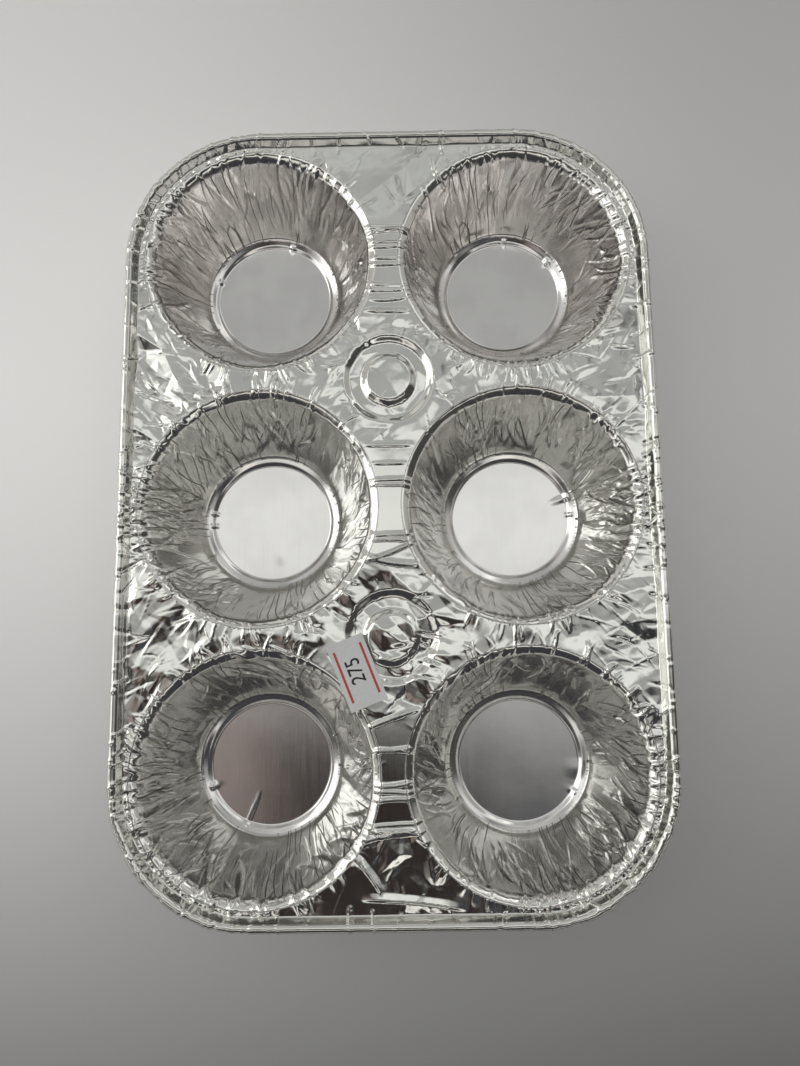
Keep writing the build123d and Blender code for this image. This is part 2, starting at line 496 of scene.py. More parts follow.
# Where a few broad, deep folds run down a cup's wall: the same values, then how far from the opening they start
DEEP_FOLDS = {
    ("back", "left"): [(165, 70, 8, -0.35, -3), (60, 50, 5, 0.1, -3)],
    ("back", "right"): [(95, 60, 5, 0.1, -3), (15, 50, 6, 0.3, -3)],
    ("middle", "left"): [(95, 75, 9, 0.1, 2), (180, 40, 12, 0.0, -6)],
    ("middle", "right"): [(90, 80, 8, -0.1, 2), (0, 40, 12, 0.0, -6)],
    ("front", "left"): [(180, 80, 9, 0.2, -3), (270, 60, 6, -0.2, -3), (318, 44, 7, -0.6, -4)],
    ("front", "right"): [(330, 80, 8, 0.4, -3), (100, 60, 5, 0.3, 2)],
}
# Dents near the edge of a cup's floor: direction in degrees, nearest and farthest from the middle, height, width
FLOOR_DENTS = {
    ("back", "left"): [(72, 20.0, 22.6, 0.4, 1.8), (160, 20.5, 22.6, 0.2, 1.4)],
    ("back", "right"): [(87, 19.8, 22.6, 0.35, 1.5), (38, 20.0, 22.6, 0.4, 1.7)],
    ("middle", "left"): [(-79, 9.0, 15.0, 0.12, 3.0), (183, 20.5, 22.6, 0.3, 1.2), (171, 20.5, 22.6, 0.25, 1.0)],
    ("middle", "right"): [(20, 17.5, 22.6, 0.3, 1.8), (3, 20.5, 22.6, 0.3, 1.2)],
    ("front", "left"): [(-113, 13.0, 22.6, 0.2, 1.2), (-160, 20.5, 22.6, 0.4, 1.8)],
    ("front", "right"): [(-9, 18.0, 22.6, 0.12, 4.0), (-30, 20.5, 22.6, 0.25, 1.6)],
}
# Kinds of pleats: where they start down the wall, their length, spread of their lean, height, width, and width of their
# steep side, which is drawn where it is 0. Those all round a wall begin with the degrees between them and their stray
WALL_PLEATS = [
    (8.5, 5, ((1, 12), (12, 30), 0.15, (0.06, 0.26), (1.2, 5.0), 0.0)),
    (16.0, 6, ((0, 20), (6, 18), 0.3, (0.05, 0.14), (0.45, 1.0), 0.45)),
]
CLUSTER_PLEATS = ((-2, 14), (9, 28), 0.16, (0.08, 0.26), (0.6, 2.4), 0.0)
OUTER_PLEATS = ((-3.6, -1.0), (10, 26), 0.3, (0.06, 0.26), (0.5, 1.6), 0.0)
FRONT_PLEATS = ((-4.0, -3.0), (6, 9), 0.2, (0.1, 0.45), (0.9, 2.6), 0.0)
# How far to each side the bunches of pleats between two cups of a column reach, their half width and their spacing
BUNCH_REACH = 17.0
BUNCH_HALF = 1.7
BUNCH_STEP = (5.0, 8.5)
# How deep the pleats of a row of cups are, against the tables' heights
PLEAT_DEPTH = {"back": 1.3, "middle": 1.55, "front": 1.6}
# Facets of a cup's wall: how far down it they are drawn, their widths and lengths, and their heights
CUP_SPAN = 44
CUP_CELLS = ((8.5, 40), (3.6, 18))
BROAD_FACETS, FINE_FACETS = 0.3, 0.045
# Facets of the rim: how far outwards they are drawn, and their length and width
RIM_SPAN = 16
RIM_CELL = (3.4, 3.6)
# How far down its wall a cup's pleats may reach, its clusters' and deep folds too, and where all fade out
PLEAT_END = 34
CLUSTER_END = 33
PLEAT_FADE = (30, 34)


class Creases:
    """All the sheet's creases, as heights over the smooth pressing."""

    def __init__(self, foil):
        self.crease, self.pleat, self.crimp = foil.crease, foil.pleat, foil.crimp
        self.rng = np.random.default_rng(foil.seed)
        self.deep_rng = np.random.default_rng(foil.seed + 2)
        self.edge = EdgePath()
        self.around = 2 * math.pi * HOLE_RADIUS
        self.width, self.length = 2 * (CUP_X + DECK_EDGE + 4), 2 * (CUP_Y + DECK_EDGE + 4)
        self.soft, self.fine = (Facets(self.rng, self.width, self.length, *cell) for cell in DECK_CELLS)
        self.crumples = [Crumple(self.rng, *values) for values in CRUMPLES]
        self.deck_folds, self.saddle_folds = self.draw_deck_folds(), self.draw_saddle_folds()
        self.cup_folds = {(r, c): self.draw_cup_folds(r, c) for r in ROWS for c in COLUMNS}
        self.cup_facets = {
            key: [Facets(self.rng, self.around, CUP_SPAN, *cell, closed=True) for cell in CUP_CELLS]
            for key in self.cup_folds
        }
        self.ticks = self.draw_ticks()
        self.rim_facets = Facets(self.rng, self.edge.length, RIM_SPAN, *RIM_CELL, closed=True)

    def draw_deck_folds(self):
        """Draws the single folds of the deck's crumpled places."""
        rng = self.rng
        folds = []
        for middle, half, count, widths, heights, lengths, turn, spread in FOLD_PATCHES:
            for _ in range(count):
                place = np.array(middle) + rng.uniform(-1, 1, 2) * half
                angle = math.radians(turn + rng.uniform(-spread, spread))
                length = rng.uniform(*lengths)
                start = place - length / 2 * np.array([math.cos(angle), math.sin(angle)])
                width = rng.uniform(*widths)
                height = rng.uniform(*heights) * rng.choice([-1, 1])
                steep = width * rng.uniform(0.3, 0.9)
                folds.append(Fold(start, length, angle, steep, width, height, rng.uniform(-1, 1), 0.4))
        for start, length, turn, steep, gentle, height in TRIANGLE_FOLDS:
            folds.append(Fold(start, length, math.radians(turn), steep, gentle, height, 0.8, 0.25))
        return folds

    def draw_saddle_folds(self):
        """Draws the folds that run across the narrow panels."""
        rng = self.rng
        folds = []
        for y, left, right, height, lean in SADDLE_FOLDS:
            grow = SADDLE_GROWTH if y > -CUP_Y / 2 else 1
            steep, gentle = grow * rng.uniform(0.4, 0.65), grow * rng.uniform(0.6, 1.3)
            length = (right - left) * math.hypot(1, lean)
            start = (left, y + lean * left)
            bend = rng.uniform(-0.9, 0.9)
            folds.append(Fold(start, length, math.atan(lean), steep, gentle, grow * height, bend, 0.25))
        return folds

    def draw_cup_folds(self, row, column):
        """Draws the pleats of one cup, as places around it and down its wall."""
        rng = self.rng
        degree = self.around / 360
        folds = []
        depth = PLEAT_DEPTH[row]

        def pleat(place, start, length, slant, height, gentle, steep=0.0, rng=rng):
            steep = steep or rng.uniform(0.42, 0.62)
            if rng.random() < 0.5:
                steep, gentle = gentle, steep
            angle, bend = math.atan2(1, slant), rng.normal(0, 0.09) * length
            folds.append(Fold((place, start), length, angle, steep, gentle, depth * height, bend, 0.25))

        def draw(place, kind, slope=0.0, lean=0.0, low=1.0, end=math.inf):
            starts, lengths, spread, heights, widths, steep = kind
            start, length = rng.uniform(*starts), rng.uniform(*lengths)
            length = min(length, (end - start) * math.hypot(1, slope))
            place -= slope * length / 2
            slant = slope + lean + rng.normal(0, spread)
            pleat(place, start, length, slant, low * rng.uniform(*heights), rng.uniform(*widths), steep)

        wall_lean = rng.uniform(-0.6, 0.6)
        for step, stray, kind in WALL_PLEATS:
            for place in np.arange(0, 360, step) * degree:
                place += rng.uniform(-stray, stray)
                draw(place, kind, lean=wall_lean * math.cos(place / HOLE_RADIUS * 2), end=PLEAT_END)
        for middle, spread, count, slope in CUP_CLUSTERS[row, column]:
            for _ in range(count):
                draw((middle + rng.uniform(-0.5, 0.5) * spread) * degree, CLUSTER_PLEATS, slope, end=CLUSTER_END)
        for place in np.arange(0, 360, 15) * degree:
            if self.quiet(row, column, place / degree):
                continue
            place += rng.uniform(-6, 6)
            height, gentle = 0.24 * rng.random() ** 1.5, rng.uniform(0.5, 1.5)
            pleat(place, rng.uniform(-7, -1), rng.uniform(7, 18), rng.normal(0, 0.2), height, gentle)
        for turn in np.arange(0, 360, 7.0):
            outwards = COLUMNS[column] * math.cos(math.radians(turn))
            low = 0.3 if row == "front" and outwards < -0.15 else 1
            if max(outwards, ROWS[row] * math.sin(math.radians(turn))) < rng.uniform(0.5, 0.75):
                continue
            place = (turn + rng.uniform(-3.5, 3.5)) * degree
            draw(place, OUTER_PLEATS, low=low)
            if row == "front":
                draw(place + 2, FRONT_PLEATS, low=low)
        for side in (90, 270):
            if (row == "back" and side == 90) or (row == "front" and side == 270):
                continue
            bunch = -BUNCH_REACH
            while bunch < BUNCH_REACH:
                for _ in range(rng.integers(2, 6)):
                    place = side * degree + bunch + rng.uniform(-BUNCH_HALF, BUNCH_HALF)
                    height = 0.3 * rng.random() ** 1.2
                    start, length = rng.uniform(-6, -4.5), rng.uniform(7, 20)
                    pleat(place, start, length, rng.normal(0, 0.13), height, rng.uniform(0.4, 1.0), 0.4)
                bunch += rng.uniform(*BUNCH_STEP)
        deep_rng = self.deep_rng
        for middle, spread, count, slope, first in DEEP_FOLDS[row, column]:
            for number in range(count):
                share = (number + deep_rng.uniform(0.1, 0.9)) / count - 0.5
                start, length = first + deep_rng.uniform(0, 4), deep_rng.uniform(14, 27)
                length = min(length, (CLUSTER_END - start) * math.hypot(1, slope))
                place = (middle + share * spread) * degree - slope * length / 2
                height, steep = deep_rng.uniform(0.18, 0.42), deep_rng.uniform(0.5, 0.8)
                slant, gentle = slope + deep_rng.normal(0, 0.1), deep_rng.uniform(1.4, 3.4)
                pleat(place, start, length, slant, height, gentle, steep, deep_rng)
        return folds

    def crisp(self, row, column, turn):
        """Share of crispness of a cup's lip: beside the narrow panel, and at the back of all but the back cups."""
        beside = 1 - smooth(turn_gap(turn, inner_side(column)), 38, 60)
        return np.maximum(beside, 0.8 * self.behind(row, turn))

    def behind(self, row, turn):
        """Share by which a place on a cup's lip is at its back; the back cups have none."""
        return (row != "back") * (1 - smooth(turn_gap(turn, CUP_BACK), 32, 52))

    def lip_calm(self, row, angle, out):
        """Share of the deck's creases that stays this far outside a cup's opening: few behind the cup."""
        return 1 - 0.7 * self.behind(row, np.degrees(angle)) * (1 - smooth(out, 0.5, 5))

    def quiet(self, row, column, turn):
        """Tells where few folds cross a cup's lip: beside the narrow panel, and behind all but the back cups."""
        behind = row != "back" and turn_gap(turn, CUP_BACK) < 35
        return behind or turn_gap(turn, inner_side(column)) < 30

    def draw_ticks(self):
        """Draws the small crimps across the rim: close together at the corners and in two bunches at the sides."""
        rng = self.rng
        edge = self.edge
        middle = np.abs(edge.at(DECK_EDGE)[:, 1] + 2)
        on_side = np.abs(edge.normals[:, 0]) > 0.99
        closeness = 1 + 2.4 * edge.turn + 2.2 * on_side * (1 - smooth(middle, 8, 24))
        closeness = np.convolve(np.pad(closeness, 20, mode="wrap"), np.full(41, 1 / 41), "valid")
        drawn = np.cumsum(closeness) * edge.length / edge.count
        count = int(drawn[-1] / 8.5)
        wanted = (np.arange(count) + rng.uniform(-0.4, 0.4, count)) * drawn[-1] / count
        places = np.sort(np.interp(wanted, drawn, edge.run))
        self.closeness = closeness
        return {
            "place": places,
            "height": rng.uniform(0.1, 0.38, count) * rng.choice([-1, 1], count),
            "width": rng.uniform(0.4, 1.0, count),
            "slant": rng.normal(0, 0.3, count),
            "inner": rng.uniform(-3.5, 1.0, count),
        }

    def deck(self, x, y):
        """Height of the deck's creases at plan places."""
        heart = np.hypot(x, np.abs(y) - ROSETTE_Y)
        rosette = 1 - smooth(heart, ROSETTE_RADIUS - 2, ROSETTE_RADIUS + 2)
        back_rosette = rosette * (y > 0)
        calm = 1 - 0.35 * back_rosette
        saddle = (1 - smooth(np.abs(x), 8, 12)) * (1 - smooth(rows_away(y), SADDLE_HALF - 4, SADDLE_HALF + 2))
        saddle = saddle * (np.abs(y) < CUP_Y + SADDLE_HALF)
        calm = calm * (1 - saddle * (1 - smooth(rows_away(y), SADDLE_HALF - 5, SADDLE_HALF)))
        crumpled = sum(crumple.at(x, y) for crumple in self.crumples)
        height = fold_sum(self.saddle_folds, x, y) + calm * (fold_sum(self.deck_folds, x, y) + crumpled)
        side = smooth(np.abs(x), 22, 50)
        plan = x + self.width / 2, y + self.length / 2
        level = (1 - 0.92 * saddle) * calm * (0.35 + 0.65 * side)
        height += level * (DECK_SOFT * self.soft.at(*plan) + DECK_FINE * self.fine.at(*plan))
        label = np.hypot(x - LABEL_MIDDLE[0], y - LABEL_MIDDLE[1])
        height = np.where(height > 0.1, 0.1 + (height - 0.1) * smooth(label, 12.5, 17), height)
        return self.crease * height

    def cup(self, row, column, angle, run):
        """Height of a cup's pleats; run is the way down the wall from the edge of its opening."""
        across = (angle % (2 * math.pi)) * HOLE_RADIUS
        broad, fine = (f.at(across, run + 6) for f in self.cup_facets[row, column])
        height = fold_sum(self.cup_folds[row, column], across, run, self.around)
        turn = np.degrees(angle)
        beside = 1 - smooth(turn_gap(turn, inner_side(column)), 24, 34)
        height = height * (1 - 0.85 * beside * (1 - smooth(run, 2.5, 8)))
        height += smooth(run, 1, 8) * (BROAD_FACETS * broad + FINE_FACETS * fine)
        label_side = (1 - smooth(np.abs(turn - 45), 14, 24)) * (1 - smooth(run, 2, 6))
        if (row, column) == ("front", "left"):
            height = height * (1 - 0.8 * label_side)
        return self.pleat * (1 - smooth(run, *PLEAT_FADE)) * height

    def rim(self, place, across):
        """Height of the rim's crimps at an outline point, this far outwards from the deck's edge."""
        ticks = self.ticks
        run = self.edge.run[place]
        total = np.zeros(len(run))
        after = np.searchsorted(ticks["place"], run)
        for shift in (-2, -1, 0, 1):
            index = (after + shift) % len(ticks["place"])
            away = run - ticks["place"][index] - ticks["slant"][index] * (across - 2)
            away = (away + self.edge.length / 2) % self.edge.length - self.edge.length / 2
            rise = np.clip(1 - np.abs(away) / ticks["width"][index], 0, 1)
            total += ticks["height"][index] * rise * smooth(across, ticks["inner"][index] - 1.5, ticks["inner"][index])
        crowded = np.clip((self.closeness[place] - 1) / 2.4, 0, 1)
        front = 1 - smooth(self.edge.at(DECK_EDGE)[place, 1], -110, -60)
        total += (0.02 + (0.05 + 0.12 * front) * crowded) * self.rim_facets.at(run, across + 8)
        return self.crimp * total


def rosette_height(x, y):
    """Depth of the pressed channels about the middle between four cups."""
    distance = np.hypot(x, np.abs(y) - ROSETTE_Y)
    channel_outer = ROSETTE_RADIUS - CHANNEL_SLOPE
    channel_inner = channel_outer - CHANNEL_WIDTH
    outer_fall = smooth(distance, channel_outer, ROSETTE_RADIUS)
    inner_fall = smooth(distance, channel_inner - CHANNEL_SLOPE, channel_inner)
    return CHANNEL_DEPTH * (outer_fall - inner_fall)


def rounded_line(points, bends, rows):
    """Rounds a line's corners; returns evenly spaced points, left-hand normals and the way along it."""
    points = [np.array(p, float) for p in points]
    dense = [points[0]]
    for before, corner, after, bend in zip(points, points[1:], points[2:], bends):
        back, ahead = before - corner, after - corner
        back, ahead = back / np.linalg.norm(back), ahead / np.linalg.norm(ahead)
        half = math.acos(np.clip(back @ ahead, -1, 1)) / 2
        reach = bend / math.tan(half)
        first, last = corner + back * reach, corner + ahead * reach
        for t in np.linspace(0, 1, 9):
            dense.append((1 - t) ** 2 * first + 2 * t * (1 - t) * corner + t**2 * last)
    dense.append(points[-1])
    dense = np.array(dense)
    length = np.concatenate([[0], np.cumsum(np.linalg.norm(np.diff(dense, axis=0), axis=1))])
    wanted = np.linspace(0, length[-1], rows + 1)
    line = np.stack([np.interp(wanted, length, dense[:, i]) for i in range(2)], 1)
    along = np.gradient(line, axis=0)
    along /= np.linalg.norm(along, axis=1)[:, None]
    return line, np.stack([-along[:, 1], along[:, 0]], 1), wanted


# The pressed sheet


class Sheet:
    """One continuous sheet of points, with the faces of each piece kept apart."""

    def __init__(self):
        self.points = np.zeros((0, 3))
        self.wrap = np.zeros((0, 3))
        self.triangles = {}

    def add(self, points, wrap=None):
        """Adds points and returns their numbers."""
        start = len(self.points)
        self.points = np.concatenate([self.points, points])
        self.wrap = np.concatenate([self.wrap, points if wrap is None else wrap])
        return np.arange(start, start + len(points))

    def patch(self, piece, ids, inwards):
        """Adds the faces of a ring of rows to a piece."""
        near, far = ids[:-1], ids[1:]
        near_next, far_next = np.roll(near, -1, axis=1), np.roll(far, -1, axis=1)
        quads = [near, near_next, far_next, far] if inwards else [near, far, far_next, near_next]
        a, b, c, d = (q.ravel() for q in quads)
        self.triangles[piece] = np.concatenate([np.stack([a, b, c], 1), np.stack([a, c, d], 1)])

    def normals(self):
        """Gives the whole sheet's normal at each point, across the pieces' seams."""
        faces = np.concatenate(list(self.triangles.values()))
        a, b, c = (self.points[faces[:, i]] for i in range(3))
        across = np.cross(b - a, c - a)
        count = len(self.points)
        total = np.zeros((count, 3))
        for corner in range(3):
            for axis in range(3):
                total[:, axis] += np.bincount(faces[:, corner], across[:, axis], count)
        return total / np.maximum(np.linalg.norm(total, axis=1), 1e-12)[:, None]


def deck_pattern(rings, outline):
    """Spreads points over the deck, and joins them to its openings, rosettes and saddles by triangles."""
    points, edges = [], []

    def line(items, closed=True):
        start = len(points)
        points.extend(tuple(p) for p in items)
        count = len(items)
        edges.extend((start + i, start + (i + 1) % count) for i in range(count if closed else count - 1))

    for ring in (*rings, outline):
        line(ring)
    shared = len(points)
    turn = np.linspace(0, 2 * math.pi, round(2 * math.pi * ROSETTE_HOLE / DECK_SPACING), endpoint=False)
    for side in (-1, 1):
        line(np.stack([ROSETTE_HOLE * np.cos(turn), side * ROSETTE_Y + ROSETTE_HOLE * np.sin(turn)], 1))
    segment = 2 * math.pi / CUP_SEGMENTS
    tilt = round(math.asin(SADDLE_HALF / HOLE_RADIUS) / segment) * segment
    saddle_x = CUP_X - HOLE_RADIUS * math.cos(tilt)
    saddle_y = HOLE_RADIUS * math.sin(tilt)
    across = np.linspace(-saddle_x, saddle_x, round(2 * saddle_x / DECK_SPACING) + 1)
    for row_side in ROWS.values():
        for end in (-1, 1):
            y = np.full(len(across), row_side * CUP_Y + end * saddle_y)
            line(np.stack([across, y], 1), closed=False)
    step_x, step_y = DECK_SPACING, DECK_SPACING * math.sqrt(3) / 2
    xs = np.arange(-CUP_X - DECK_EDGE, CUP_X + DECK_EDGE, step_x)
    ys = np.arange(-CUP_Y - DECK_EDGE, CUP_Y + DECK_EDGE, step_y)
    x, y = np.meshgrid(xs, ys)
    x = x + (np.arange(len(ys)) % 2)[:, None] * step_x / 2
    jitter = np.random.default_rng(3).uniform(-0.15, 0.15, (2, x.size)) * DECK_SPACING
    x, y = x.ravel() + jitter[0], y.ravel() + jitter[1]
    gap = 0.55 * DECK_SPACING
    keep = ~near_cup(x, y, HOLE_RADIUS + gap) & inside_outline(x, y, DECK_EDGE - gap)
    keep &= np.abs(np.hypot(x, np.abs(y) - ROSETTE_Y) - ROSETTE_HOLE) > gap
    keep &= (np.abs(rows_away(y) - saddle_y) > gap) | (np.abs(x) > saddle_x + gap)
    points.extend(zip(x[keep], y[keep]))
    out = delaunay_2d_cdt([Vector(p) for p in points], edges, [], 0, 1e-5, True)
    found = np.array([tuple(v) for v in out[0]])
    faces = np.array(out[2])
    source = np.array([ids[0] if ids else -1 for ids in out[3]])
    corners = found[faces]
    first, second = corners[:, 1] - corners[:, 0], corners[:, 2] - corners[:, 0]
    area = first[:, 0] * second[:, 1] - first[:, 1] * second[:, 0]
    faces = np.where(area[:, None] < 0, faces[:, ::-1], faces)
    middle = corners.mean(1)
    middle_x, middle_y = middle.T
    keep = ~near_cup(middle_x, middle_y, HOLE_RADIUS - 0.02) & inside_outline(middle_x, middle_y, DECK_EDGE)
    faces, middle_x, middle_y = faces[keep], middle_x[keep], middle_y[keep]
    in_saddle = (rows_away(middle_y) < saddle_y) & (np.abs(middle_x) < saddle_x)
    in_rosette = np.hypot(middle_x, np.abs(middle_y) - ROSETTE_Y) < ROSETTE_HOLE
    masks = {}
    for row, side in ROWS.items():
        masks[f"saddle_panel_{row}"] = in_saddle & (np.abs(middle_y - side * CUP_Y) < CUP_Y / 2)
    for row, side in (("front", -1), ("back", 1)):
        masks[f"rosette_{row}"] = in_rosette & (middle_y * side > 0)
    rest = ~(in_saddle | in_rosette)
    masks["deck_left"] = rest & (middle_x < 0)
    masks["deck_right"] = rest & (middle_x >= 0)
    return found, source, shared, {name: faces[mask] for name, mask in masks.items()}


@functools.lru_cache(maxsize=1)
def pressed_sheet():
    """Builds the whole creased sheet once; returns it with its normals and the bead's crimps."""
    creases = Creases(bpy.context.scene.muffin_tray_foil)
    sheet = Sheet()
    edge = creases.edge
    angle = np.arange(CUP_SEGMENTS) * 2 * math.pi / CUP_SEGMENTS
    radial = np.stack([np.cos(angle), np.sin(angle)], 1)
    centres = {(r, c): np.array([cs * CUP_X, rs * CUP_Y]) for r, rs in ROWS.items() for c, cs in COLUMNS.items()}
    rings = [centre + HOLE_RADIUS * radial for centre in centres.values()]
    plan, source, shared, pieces = deck_pattern(rings, edge.at(DECK_EDGE))
    x, y = plan.T
    height = creases.deck(x, y)
    for (row, column), centre in centres.items():
        dx, dy = x - centre[0], y - centre[1]
        out = np.hypot(dx, dy) - HOLE_RADIUS
        close = out < 7
        out, turn = out[close], np.arctan2(dy[close], dx[close])
        height[close] *= creases.lip_calm(row, turn, out)
        height[close] += creases.cup(row, column, turn, -out)
    height += rosette_height(x, y)
    close = ~inside_outline(x, y, DECK_EDGE - 6)
    place, away = edge.nearest(x[close], y[close])
    height[close] += creases.rim(place, away) * smooth(away, -5, 0)
    deck_ids = sheet.add(np.stack([x, y, DECK_HEIGHT + height], 1))
    for name, faces in pieces.items():
        sheet.triangles[name] = deck_ids[faces]
    by_source = np.full(shared, -1)
    known = (source >= 0) & (source < shared)
    by_source[source[known]] = deck_ids[known]

    wall_corners = [
        (HOLE_RADIUS, DECK_HEIGHT),
        (LIP_RADIUS, DECK_HEIGHT),
        (MOUTH_RADIUS, DECK_HEIGHT - LIP_DROP),
        (FOOT_RADIUS + FOOT_STEP[0], LEDGE_HEIGHT + FOOT_STEP[1]),
        (LEDGE_RADIUS, LEDGE_HEIGHT),
    ]
    sections = []
    for bends in (CRISP_LIP_BENDS, SOFT_LIP_BENDS):
        line, line_normals, run = rounded_line(wall_corners, [*bends, FOOT_BEND], WALL_ROWS)
        line_normals = -line_normals
        line_normals[[0, -1]] = (0, 1)
        sections.append((line, line_normals))
    for number, ((row, column), centre) in enumerate(centres.items()):
        grid = [by_source[number * CUP_SEGMENTS : (number + 1) * CUP_SEGMENTS]]
        lip_height = creases.deck(*(centre + HOLE_RADIUS * radial).T) * creases.lip_calm(row, angle, 0)
        crisp = creases.crisp(row, column, np.degrees(angle))
        for number_down, way in enumerate(run[1:], 1):
            (radius, z), (out, up) = (
                np.outer(sections[0][i][number_down], crisp) + np.outer(sections[1][i][number_down], 1 - crisp)
                for i in range(2)
            )
            pleats = creases.cup(row, column, angle, np.full(CUP_SEGMENTS, way))
            flat = centre + (radius + out * pleats)[:, None] * radial
            level = z + up * pleats + lip_height * (1 - smooth(way, 0.3, 6))
            wrap = np.column_stack([HOLE_RADIUS * radial, np.full(CUP_SEGMENTS, way)])
            grid.append(sheet.add(np.column_stack([flat, level]), wrap))
        sheet.patch(f"cup_wall_{row}_{column}", np.array(grid), inwards=True)

    edge_start = len(rings) * CUP_SEGMENTS
    grid = [by_source[edge_start : edge_start + edge.count]]
    foot_radius = DECK_EDGE + STEP_LAND
    top_height = BEAD_HEIGHT + BEAD_RADIUS * math.sin(BEAD_START)
    top_radius = BEAD_CENTRE + BEAD_RADIUS * math.cos(BEAD_START)
    step_corners = [(DECK_EDGE, DECK_HEIGHT), (foot_radius, DECK_HEIGHT), (top_radius, top_height)]
    step_line, step_normals, step_run = rounded_line(step_corners, [STEP_BEND], STEP_ROWS)
    place = np.arange(edge.count)
    base_height = creases.deck(*edge.at(DECK_EDGE).T)
    for (radius, z), (out, up), way in zip(step_line[1:], step_normals[1:], step_run[1:]):
        crimps = creases.rim(place, np.full(edge.count, way))
        flat = edge.centres + (radius + out * crimps)[:, None] * edge.normals
        level = z + up * crimps + base_height * (1 - smooth(way, 0, 2.4))
        grid.append(sheet.add(np.column_stack([flat, level])))
    sheet.patch("rim_step", np.array(grid), inwards=False)
    start_crimp = creases.rim(place, np.full(edge.count, step_run[-1]))
    outer_crimp = creases.rim(place, np.full(edge.count, step_run[-1] + 4))
    return sheet, sheet.normals(), (edge, start_crimp, outer_crimp)


def link(name, mesh):
    """Makes an object of a mesh in the scene."""
    piece = bpy.data.objects.new(name, mesh)
    bpy.context.scene.collection.objects.link(piece)
    return piece


def foil_solid(name, faces):
    """Gives a piece of the sheet its thickness and its seam walls, and makes it an object."""
    sheet, normals, _ = pressed_sheet()
    thickness = bpy.context.scene.muffin_tray_foil.thickness / MM
    used, local = np.unique(faces, return_inverse=True)
    top = local.reshape(faces.shape)
    count = len(used)
    points, ups = sheet.points[used], normals[used]
    edges = np.concatenate([top[:, [0, 1]], top[:, [1, 2]], top[:, [2, 0]]])
    keys = np.sort(edges, 1)
    _, first, times = np.unique(keys[:, 0] * count + keys[:, 1], return_index=True, return_counts=True)
    rim = edges[first[times == 1]]
    near, far = rim[:, 0], rim[:, 1]
    walls = np.concatenate(
        [np.stack([near, near + count, far + count], 1), np.stack([near, far + count, far], 1)]
    )
    triangles = np.concatenate([top, top[:, ::-1] + count, walls])
    vertices = np.concatenate([points, points - ups * thickness]) * MM
    mesh = bpy.data.meshes.new(name)
    mesh.vertices.add(len(vertices))
    mesh.vertices.foreach_set("co", vertices.ravel())
    mesh.loops.add(triangles.size)
    mesh.loops.foreach_set("vertex_index", triangles.ravel())
    mesh.polygons.add(len(triangles))
    mesh.polygons.foreach_set("loop_start", np.arange(0, triangles.size, 3))
    mesh.update(calc_edges=True)
    mesh.polygons.foreach_set("use_smooth", np.ones(len(triangles), bool))
    wrap = mesh.attributes.new("wrap", "FLOAT_VECTOR", "POINT")
    wrap.data.foreach_set("vector", np.tile(sheet.wrap[used], (2, 1)).ravel())
    loop_normals = np.concatenate([ups, -ups])[triangles]
    a, b, c = (vertices[walls[:, i]] for i in range(3))
    flat = np.cross(b - a, c - a)
    loop_normals[-len(walls) :] = (flat / np.maximum(np.linalg.norm(flat, axis=1), 1e-15)[:, None])[:, None, :]
    mesh.normals_split_custom_set(loop_normals.reshape(-1, 3))
    return link(name, mesh)


def seat(piece, finish, slot_name, *replaced):
    """Gives a piece its material and ties it to the frame."""
    piece.data.materials.clear()
    piece.data.materials.append(finish)
    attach(piece, "root")
    if replaced:
        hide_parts(*replaced)


# Node trees


class Tree:
    """Shortens the building of a node tree."""

    def __init__(self, tree):
        self.tree = tree

    def add(self, kind, inputs=None, **settings):
        """Adds a node with its settings, its values and its links."""
        node = self.tree.nodes.new(kind)
        for key, value in settings.items():
            setattr(node, key, value)
        for key, value in (inputs or {}).items():
            if isinstance(value, bpy.types.NodeSocket):
                self.link(value, node.inputs[key])
            else:
                node.inputs[key].default_value = value
        return node

    def link(self, source, target):
        """Leads a node's output to an input."""
        self.tree.links.new(source, target)

    def math(self, operation, *values, clamp=False):
        """Adds a sum and returns its output."""
        node = self.add("ShaderNodeMath", dict(enumerate(values)), operation=operation, use_clamp=clamp)
        return node.outputs[0]

    def vector(self, operation, first, second=None):
        """Adds a sum of vectors and returns its output; SCALE takes a number second."""
        values = {0: first} if second is None else {0: first, 3 if operation == "SCALE" else 1: second}
        return self.add("ShaderNodeVectorMath", values, operation=operation).outputs[0]

    def split(self, value):
        """Gives a vector's three parts."""
        return self.add("ShaderNodeSeparateXYZ", {0: value}).outputs

    def place(self):
        """Gives the place on the object, in the object's own coordinates."""
        return self.add("ShaderNodeTexCoord").outputs["Object"]

    def noise(self, place, scale, detail):
        """Adds a noise and returns its value."""
        return self.add("ShaderNodeTexNoise", {"Vector": place, "Scale": scale, "Detail": detail}).outputs[0]

    def bump(self, strength, distance, height, normal=None):
        """Tilts a normal by the slope of a height."""
        values = {"Strength": strength, "Distance": distance, "Height": height}
        if normal is not None:
            values["Normal"] = normal
        return self.add("ShaderNodeBump", values).outputs[0]

    def close(self, out, results):
        """Leads a group's results to its output node and returns the group."""
        for key, value in results.items():
            self.link(value, out.inputs[key])
        return self.tree

    def ramp(self, value, low, high, to_low=0.0, to_high=1.0):
        """Spreads a value smoothly over a range."""
        ends = {"Value": value, "From Min": low, "From Max": high, "To Min": to_low, "To Max": to_high}
        return self.add("ShaderNodeMapRange", ends, interpolation_type="SMOOTHSTEP").outputs[0]

    def mix(self, factor, first, second):
        """Mixes two colours."""
        node = self.tree.nodes.new("ShaderNodeMix")
        node.data_type = "RGBA"
        for socket, value in zip((node.inputs[0], node.inputs[6], node.inputs[7]), (factor, first, second)):
            if isinstance(value, bpy.types.NodeSocket):
                self.link(value, socket)
            else:
                socket.default_value = value
        return node.outputs[2]


